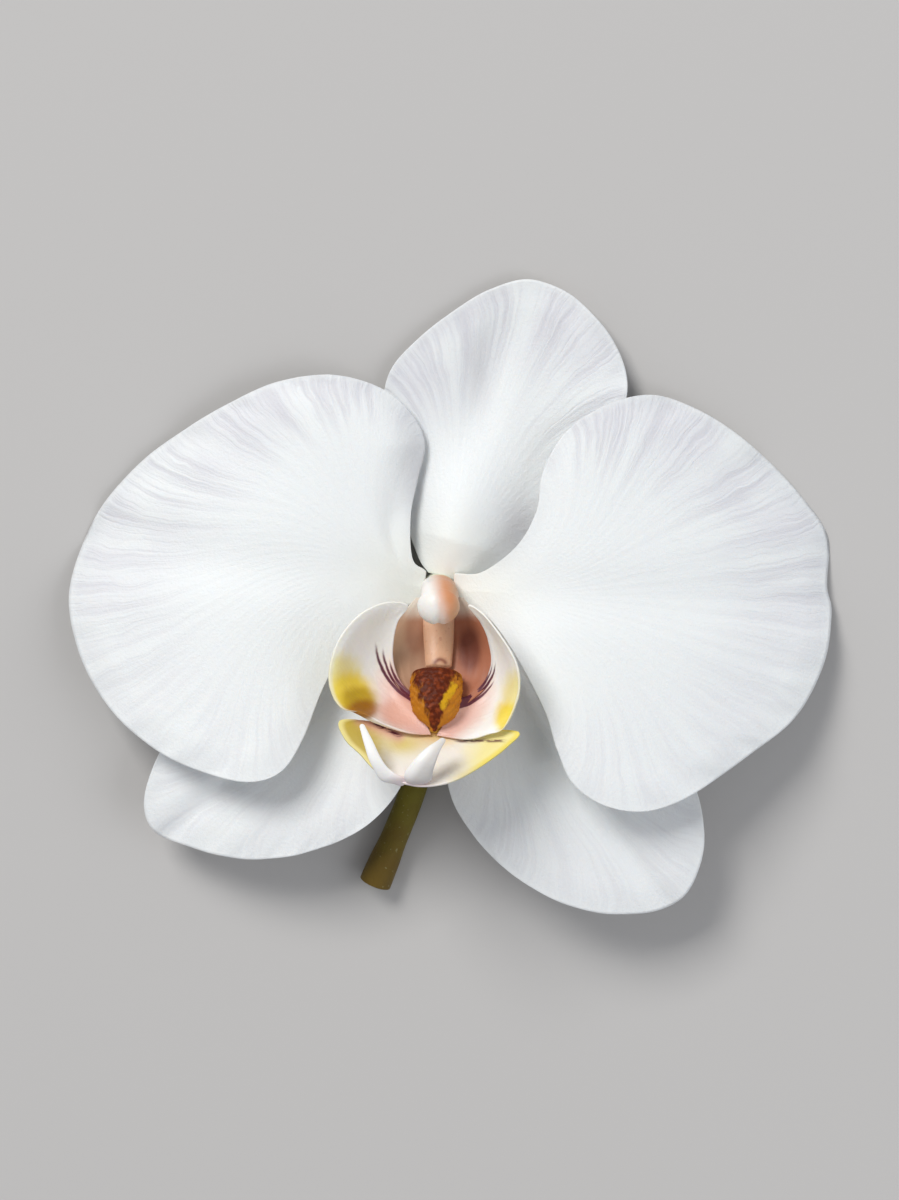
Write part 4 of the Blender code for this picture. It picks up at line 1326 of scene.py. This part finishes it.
# %% Floor and callus
# The lip's floor joins its lobes below the callus, and both are flat tubes.
FLOOR = {
    "path": ((0.0, -10.8, 1.8), (0.0, -12.4, 2.9), (-0.4, -14.6, 4.4), (-0.6, -17.6, 5.4)),
    "radius": (2.4, 3.0, 3.2, 2.2),
    "flatness": 0.26, "cells": (90, 72), "bulge": (0.6, 0.6),
}
CALLUS = {
    "path": ((-0.6, -17.6, 6.9), (-0.5, -16.2, 6.8), (-0.35, -13.6, 6.1), (-0.25, -10.9, 5.2)),
    "radius": (0.5, 1.9, 2.7, 3.05, 3.2, 3.3, 3.3, 3.2),
    "flatness": 0.62, "cells": (150, 140), "bulge": (0.4, 1.0),
}
RIDGES_AT = 0.62
CORNER_MM = np.array([0.0, 0.9, 0.4])


def ridges_of(angle):
    """1 on the crest of either ridge of the upper side, 0 away from them."""
    return hill(np.abs(np.cos(angle)), RIDGES_AT, 0.24) * eased(np.sin(angle), 0.0, 0.4)


def callus_shape(share, angle):
    """Two ridges with a furrow between them on the upper side, and warts of several sizes."""
    furrow = hill(np.cos(angle), 0, 0.30) * eased(np.sin(angle), 0.0, 0.4)
    warts = 0.03 * np.sin(9 * angle + 4 * share) * np.sin(38 * share + 2 * np.sin(5 * angle))
    warts = warts + 0.02 * np.sin(23 * angle - 9 * share) * np.sin(61 * share + 3 * np.sin(8 * angle))
    return 1 + 0.36 * ridges_of(angle) - 0.40 * furrow * eased(share, 0.1, 0.5) + warts


def with_corners(rings, place):
    """At the upper end each ridge runs out into a corner, which rises by CORNER_MM."""
    share = place[..., 1]
    ridges = ridges_of(2 * math.pi * place[..., 0])
    rise = ridges * eased(share, 0.7, 1.0) * (1 - eased(share, 1.0, 1.09))
    return rings + rise[..., None] * CORNER_MM, place


# %% Floor and callus finishes
CALLUS_ORANGE = (0.54, 0.22, 0.014)
CALLUS_RUST = (0.40, 0.125, 0.010)
CALLUS_DARK = (0.075, 0.006, 0.003)
CALLUS_RED = (0.22, 0.035, 0.008)
CALLUS_YELLOW = (0.64, 0.35, 0.010)
FLOOR_PINK = (0.70, 0.42, 0.34)
FLOOR_GOLD = (0.74, 0.46, 0.08)
FLOOR_SPOT = (0.26, 0.03, 0.03)


def callus_finish():
    """Orange yellow beside a dark red-brown wedge, which is as wide as the callus at its top,
    ends at its point, and holds a clear yellow streak on the right."""
    look = Look("lip_callus_orange", CALLUS_ORANGE, 0.1, (1.0, 0.5, 0.2), 0.5, shine=0.2)
    coarse = look.noise(1.0, 3.0, 0.6, look.vector(look.x * 1.3, look.y * 0.5, look.z))
    look.cover(look.noise(0.7), CALLUS_RUST)
    aside = look.math("ABSOLUTE", look.x + 0.5)
    wedge = 1 - aside / (look.larger(look.y + 18.4, 0.2) * 0.45)
    dark = look.step(wedge + (coarse - 0.5) * 1.5, -0.10, 0.35)
    shade = look.mix(look.step(look.noise(1.6, 3.0), 0.45, 0.70), CALLUS_DARK, CALLUS_RED)
    look.cover(dark * 0.95, shade)
    patchy = look.noise(1.4, 3.0)
    glow = streak(look, (2.3, -11.5), (0.2, -15.2), 0.7)
    look.cover(look.step(glow + (patchy - 0.5) * 1.4, 0.40, 0.95) * 0.95, CALLUS_YELLOW)
    return look.finish(coarse, 0.12, 0.38 + coarse * 0.2)


def floor_finish():
    """Rosy, golden towards the middle lobe, with dark red spots."""
    look = Look("lip_floor_blush", FLOOR_PINK, **LIP_GLOW)
    spots = look.step(look.noise(1.3), 0.56, 0.66)
    look.cover(look.step(look.y, -14.0, -17.0), FLOOR_GOLD)
    look.cover(spots * 0.6, FLOOR_SPOT)
    return look.grained(2.4, 2.0, 0.05, 0.32, 0.16)


# %% Make the floor and the callus
skin("lip_floor", *tube_rings(**FLOOR), floor_finish(), "lip", "lip_colours")
callus_rings = with_corners(*tube_rings(**CALLUS, shape=callus_shape))
skin("lip_callus", *callus_rings, callus_finish(), "lip", "lip_colours")
print("triangles in all:", sum(made.values()))


# %% [markdown]
# ## The surface, the light and the camera
# The flower lies on a plain pale surface, a tone darker than its petals, so that their edges
# read. One broad soft light stands up and to the left, as the light falls in the photograph,
# and a second weak one opens the shadows. The camera looks straight at the flower's face.

# %% Surface and light
FLOOR_SIZE = 4.0
FLOOR_GAP = 0.0002
SURFACE_GREY = (0.56, 0.55, 0.54, 1)


def make_surface():
    """One square face just under the flower."""
    mesh = bpy.data.meshes.new("surface")
    half = FLOOR_SIZE / 2
    signs = ((-1, -1), (1, -1), (1, 1), (-1, 1))
    mesh.from_pydata([(x * half, y * half, -FLOOR_GAP) for x, y in signs], [], [(0, 1, 2, 3)])
    material = bpy.data.materials.new("surface_pale")
    material.use_nodes = True
    shader = material.node_tree.nodes["Principled BSDF"]
    shader.inputs["Base Color"].default_value = SURFACE_GREY
    shader.inputs["Roughness"].default_value = 0.9
    mesh.materials.append(material)
    floor = put("surface", mesh)
    floor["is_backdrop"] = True


def soft_light(name, direction, distance, size, power, colour):
    """A square light at a direction of the flower's frame, aimed at the flower's middle."""
    data = bpy.data.lights.new(name, "AREA")
    data.size = size
    data.energy = power
    data.color = colour
    light = put(name, data)
    towards = Vector(TURN @ unit(np.array(direction, float)))
    light.location = towards * distance
    light.rotation_euler = towards.to_track_quat("Z", "Y").to_euler()


make_surface()
soft_light("key", (-0.48, 0.60, 0.95), 2.0, 0.75, 30.0, (1.0, 0.985, 0.96))
soft_light("fill", (0.9, -0.35, 0.8), 1.0, 0.7, 2.5, (0.95, 0.97, 1.0))
world = bpy.data.worlds.new("room")
world.use_nodes = True
background = world.node_tree.nodes["Background"]
background.inputs["Color"].default_value = (0.93, 0.95, 1.0, 1)
background.inputs["Strength"].default_value = 0.35
bpy.context.scene.world = world
bpy.context.scene.view_settings.view_transform = "Standard"

# %% Camera
VIEW_DISTANCE = 600.0
VIEW_MIDDLE = np.array([1.4, -1.2, 0.0])
FRAME_WIDTH = 116.0
FRAME_PIXELS = (899, 1200)
SENSOR = 36.0

camera_data = bpy.data.cameras.new("camera")
camera_data.sensor_width = SENSOR
camera_data.lens = SENSOR * VIEW_DISTANCE / (FRAME_WIDTH * FRAME_PIXELS[1] / FRAME_PIXELS[0])
camera_data.clip_start = 0.01
camera = put("camera", camera_data)
camera.location = to_world(VIEW_MIDDLE + np.array([0.0, 0.0, VIEW_DISTANCE]))
camera.rotation_euler = (TURN_X, TURN_Y, 0.0)
bpy.context.scene.camera = camera
print("lens", round(camera_data.lens, 1), "mm")

# %% [markdown]
# ## The size
# The finished flower should fill the same box as the frame it was built on, apart from a few
# tenths of a millimetre, so both boxes are printed side by side.

# %% Sizes
visual_box = [list(corner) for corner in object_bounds()]
for axis, low, high, seen_low, seen_high in zip("xyz", *cad_box, *visual_box):
    print(axis, "frame", round(low * 1000, 2), round(high * 1000, 2),
          "now", round(seen_low * 1000, 2), round(seen_high * 1000, 2))
